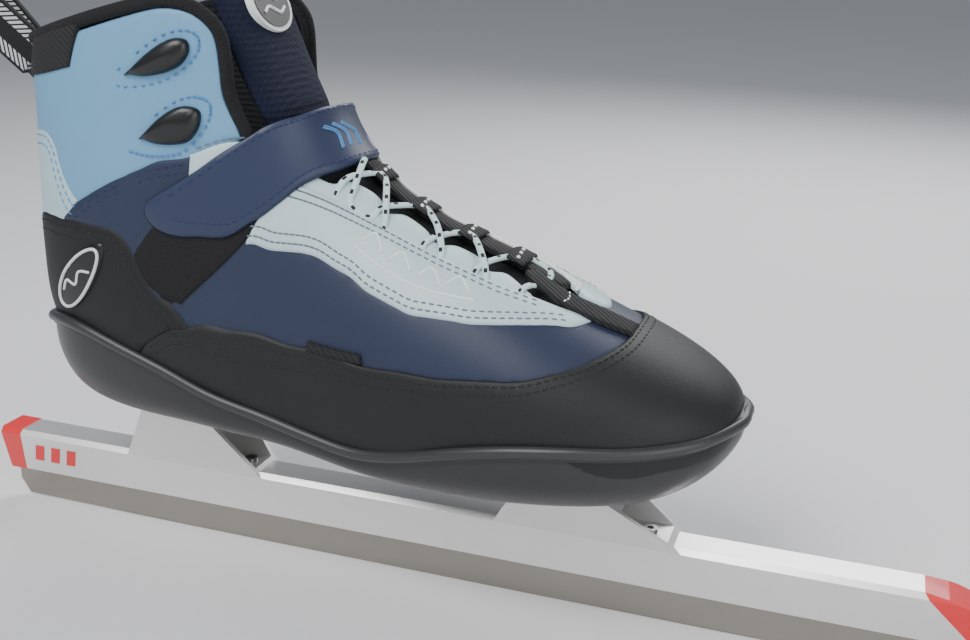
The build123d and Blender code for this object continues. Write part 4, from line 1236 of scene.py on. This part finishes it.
@dataclass
class BladeUnit(SubAssembly):
    """Sole, cups, tube, runner, caps and screws.

    Attributes:
        bead_radius: Half the thickness of the sole's rim in millimetres.
        cap_section: Half of the rear cap's section, y and z.
        bar_places: x of the red bars at the tube's heel end.
    """

    bead_radius: float = 2.2
    cap_section: tuple[Spot, ...] = ((3.5, 13.9), (7.7, 32.2), (6.1, 34.4))
    bar_places: tuple[float, ...] = (-192.0, -184.0, -176.0)

    def solids(self) -> None:
        """Dress the solid nodes."""
        p = self.palette
        self.dress(("outsole",), p.sole)
        self.dress(("blade_tube",), p.tube)
        self.dress(("rear_cup", "front_cup"), p.cup)
        self.dress(("runner_blade",), p.steel)
        self.dress(("front_tube_cap", "rear_tube_cap"), p.red)
        ends = ("rear", "front")
        screws = [f"{end}_{kind}_{k}" for end in ends for kind in ("cup_bolt", "tube_screw") for k in (1, 2)]
        self.dress(screws + [f"{end}_thread_plate" for end in ends], p.bolt)

    def bead(self) -> None:
        """Rounded rim of the sole, all round, in a finish lighter than the sole shell that paints its highlight line.
        """
        side = [(row[0], -row[1] + .9, row[2] - 2.3) for row in SOLE]
        loop = [(-169.2, 0.0, 91.2)] + side + [(105.9, 0.0, 86.2)] + [(x, -y, z) for x, y, z in reversed(side)]
        points = rounded(np.array(loop + loop[:1]), 1.6)[:-1]
        self.tie(tube_along("sole_bead", points, self.bead_radius, self.palette.of(self.palette.rim_painted_highlight), closed=True))

    def rear_cap(self) -> None:
        """Red plug cap that grips the end of the tube."""
        mesh = bmesh.new()
        section = list(self.cap_section) + [(-y, z) for y, z in reversed(self.cap_section)]
        rings = []
        for x0, lean, shrink in ((-207.0, 0.0, .9), (-206.0, 0.0, 1.0), (-198.6, .12, 1.0)):
            ring = [Vector((x0 + lean * (z - 14), y * shrink, 24 + (z - 24) * shrink)) * MM for y, z in section]
            rings.append([mesh.verts.new(corner) for corner in ring])
        for a, b in zip(rings, rings[1:]):
            for k in range(6):
                mesh.faces.new([a[k], a[(k + 1) % 6], b[(k + 1) % 6], b[k]])
        mesh.faces.new(rings[0])
        mesh.faces.new(rings[-1][::-1])
        self.tie(to_object("rear_cap_cover", mesh, self.palette.of(self.palette.red), smooth=False))

    def bars(self) -> None:
        """Plain slanted bars on both sides of the tube."""
        mesh = bmesh.new()
        for sign in (-1, 1):
            for x in self.bar_places:
                corners = []
                for dx, z in ((0.0, 20.0), (4.5, 20.0), (7.0, 28.0), (2.5, 28.0)):
                    y = sign * (3.32 + (z - 14.1) * 4.2 / 18 + .1)
                    corners.append(mesh.verts.new(Vector((x + dx, y, z)) * MM))
                mesh.faces.new(corners)
        self.tie(to_object("tube_bars", mesh, self.palette.of(self.palette.red), smooth=False))

    def build(self) -> None:
        """Build the blade unit."""
        self.bead()
        self.rear_cap()
        self.bars()
        self.solids()


# ------------------------------------------------------------------ studio
@dataclass(frozen=True)
class Lamp:
    """A soft area light: name, place in metres, size in metres and power in watts."""

    name: str
    at: tuple[float, float, float]
    size: float
    power: float


@dataclass
class Studio:
    """Camera, floor and light.

    Attributes:
        eye: The camera's place in metres.
        yaw: Turn to the left in degrees.
        pitch: Tilt downwards.
        roll: Turn about the line of sight.
        lens: Focal length for a sensor 36 mm wide.
        aim: Where the lamps point.
        lamps: The lamps.
    """

    eye: tuple[float, float, float] = (.1383, -.3755, .2393)
    yaw: float = 18.73
    pitch: float = 18.33
    roll: float = 1.16
    lens: float = 43.0
    aim: tuple[float, float, float] = (0.0, 0.0, 0.12)
    lamps: tuple[Lamp, ...] = (Lamp("key", (-.35, -.9, 1.15), .8, 20.0), Lamp("fill", (.95, -.7, .45), .9, 7.0),
                               Lamp("rim", (.2, .9, .9), .8, 12.0))

    def camera(self) -> None:
        """Set the camera."""
        yaw, pitch, roll = (math.radians(a) for a in (self.yaw, self.pitch, self.roll))
        ahead = Vector((-math.sin(yaw) * math.cos(pitch), math.cos(yaw) * math.cos(pitch), -math.sin(pitch)))
        right = Vector((math.cos(yaw), math.sin(yaw), 0))
        up = right.cross(ahead)
        side = right * math.cos(roll) + up * math.sin(roll)
        top = up * math.cos(roll) - right * math.sin(roll)
        data = bpy.data.cameras.new("camera")
        data.lens, data.sensor_width, data.clip_start = self.lens, 36.0, 0.01
        made = bpy.data.objects.new("camera", data)
        turn = Matrix((side, top, -ahead)).transposed().to_4x4()
        turn.translation = Vector(self.eye)
        made.matrix_world = turn
        bpy.context.scene.collection.objects.link(made)
        bpy.context.scene.camera = made

    def floor(self) -> None:
        """Plain pale floor."""
        mesh = bmesh.new()
        bmesh.ops.create_grid(mesh, x_segments=1, y_segments=1, size=6.0)
        graph = Graph("studio_floor")
        graph.fix(Base_Color=(.74, .74, .75, 1), Roughness=.9)
        made = to_object("floor", mesh, graph.material, smooth=False)

    def light(self, lamp: Lamp) -> None:
        """Hang one lamp, pointed at the aim."""
        data = bpy.data.lights.new(lamp.name, "AREA")
        data.size, data.energy = lamp.size, lamp.power
        made = bpy.data.objects.new(lamp.name, data)
        made.location = lamp.at
        made.rotation_euler = (Vector(self.aim) - Vector(lamp.at)).to_track_quat("-Z", "Y").to_euler()
        bpy.context.scene.collection.objects.link(made)

    def build(self) -> None:
        """Set up the studio."""
        self.camera()
        self.floor()
        world = bpy.data.worlds.new("studio_world")
        world.use_nodes = True
        world.node_tree.nodes["Background"].inputs[0].default_value = (.75, .8, .88, 1)
        world.node_tree.nodes["Background"].inputs[1].default_value = .35
        bpy.context.scene.world = world
        for lamp in self.lamps:
            self.light(lamp)


def main() -> None:
    """Build the sub-assemblies in order, then the studio."""
    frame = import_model()
    shared = (frame["nodes"], Palette(), BootSurface())
    for kind in (BladeUnit, Upper, Closure, SoftParts):
        kind(*shared).build()
        LOG.info("%s finished", kind.__name__)
    Studio().build()


if __name__ == "__main__":
    main()
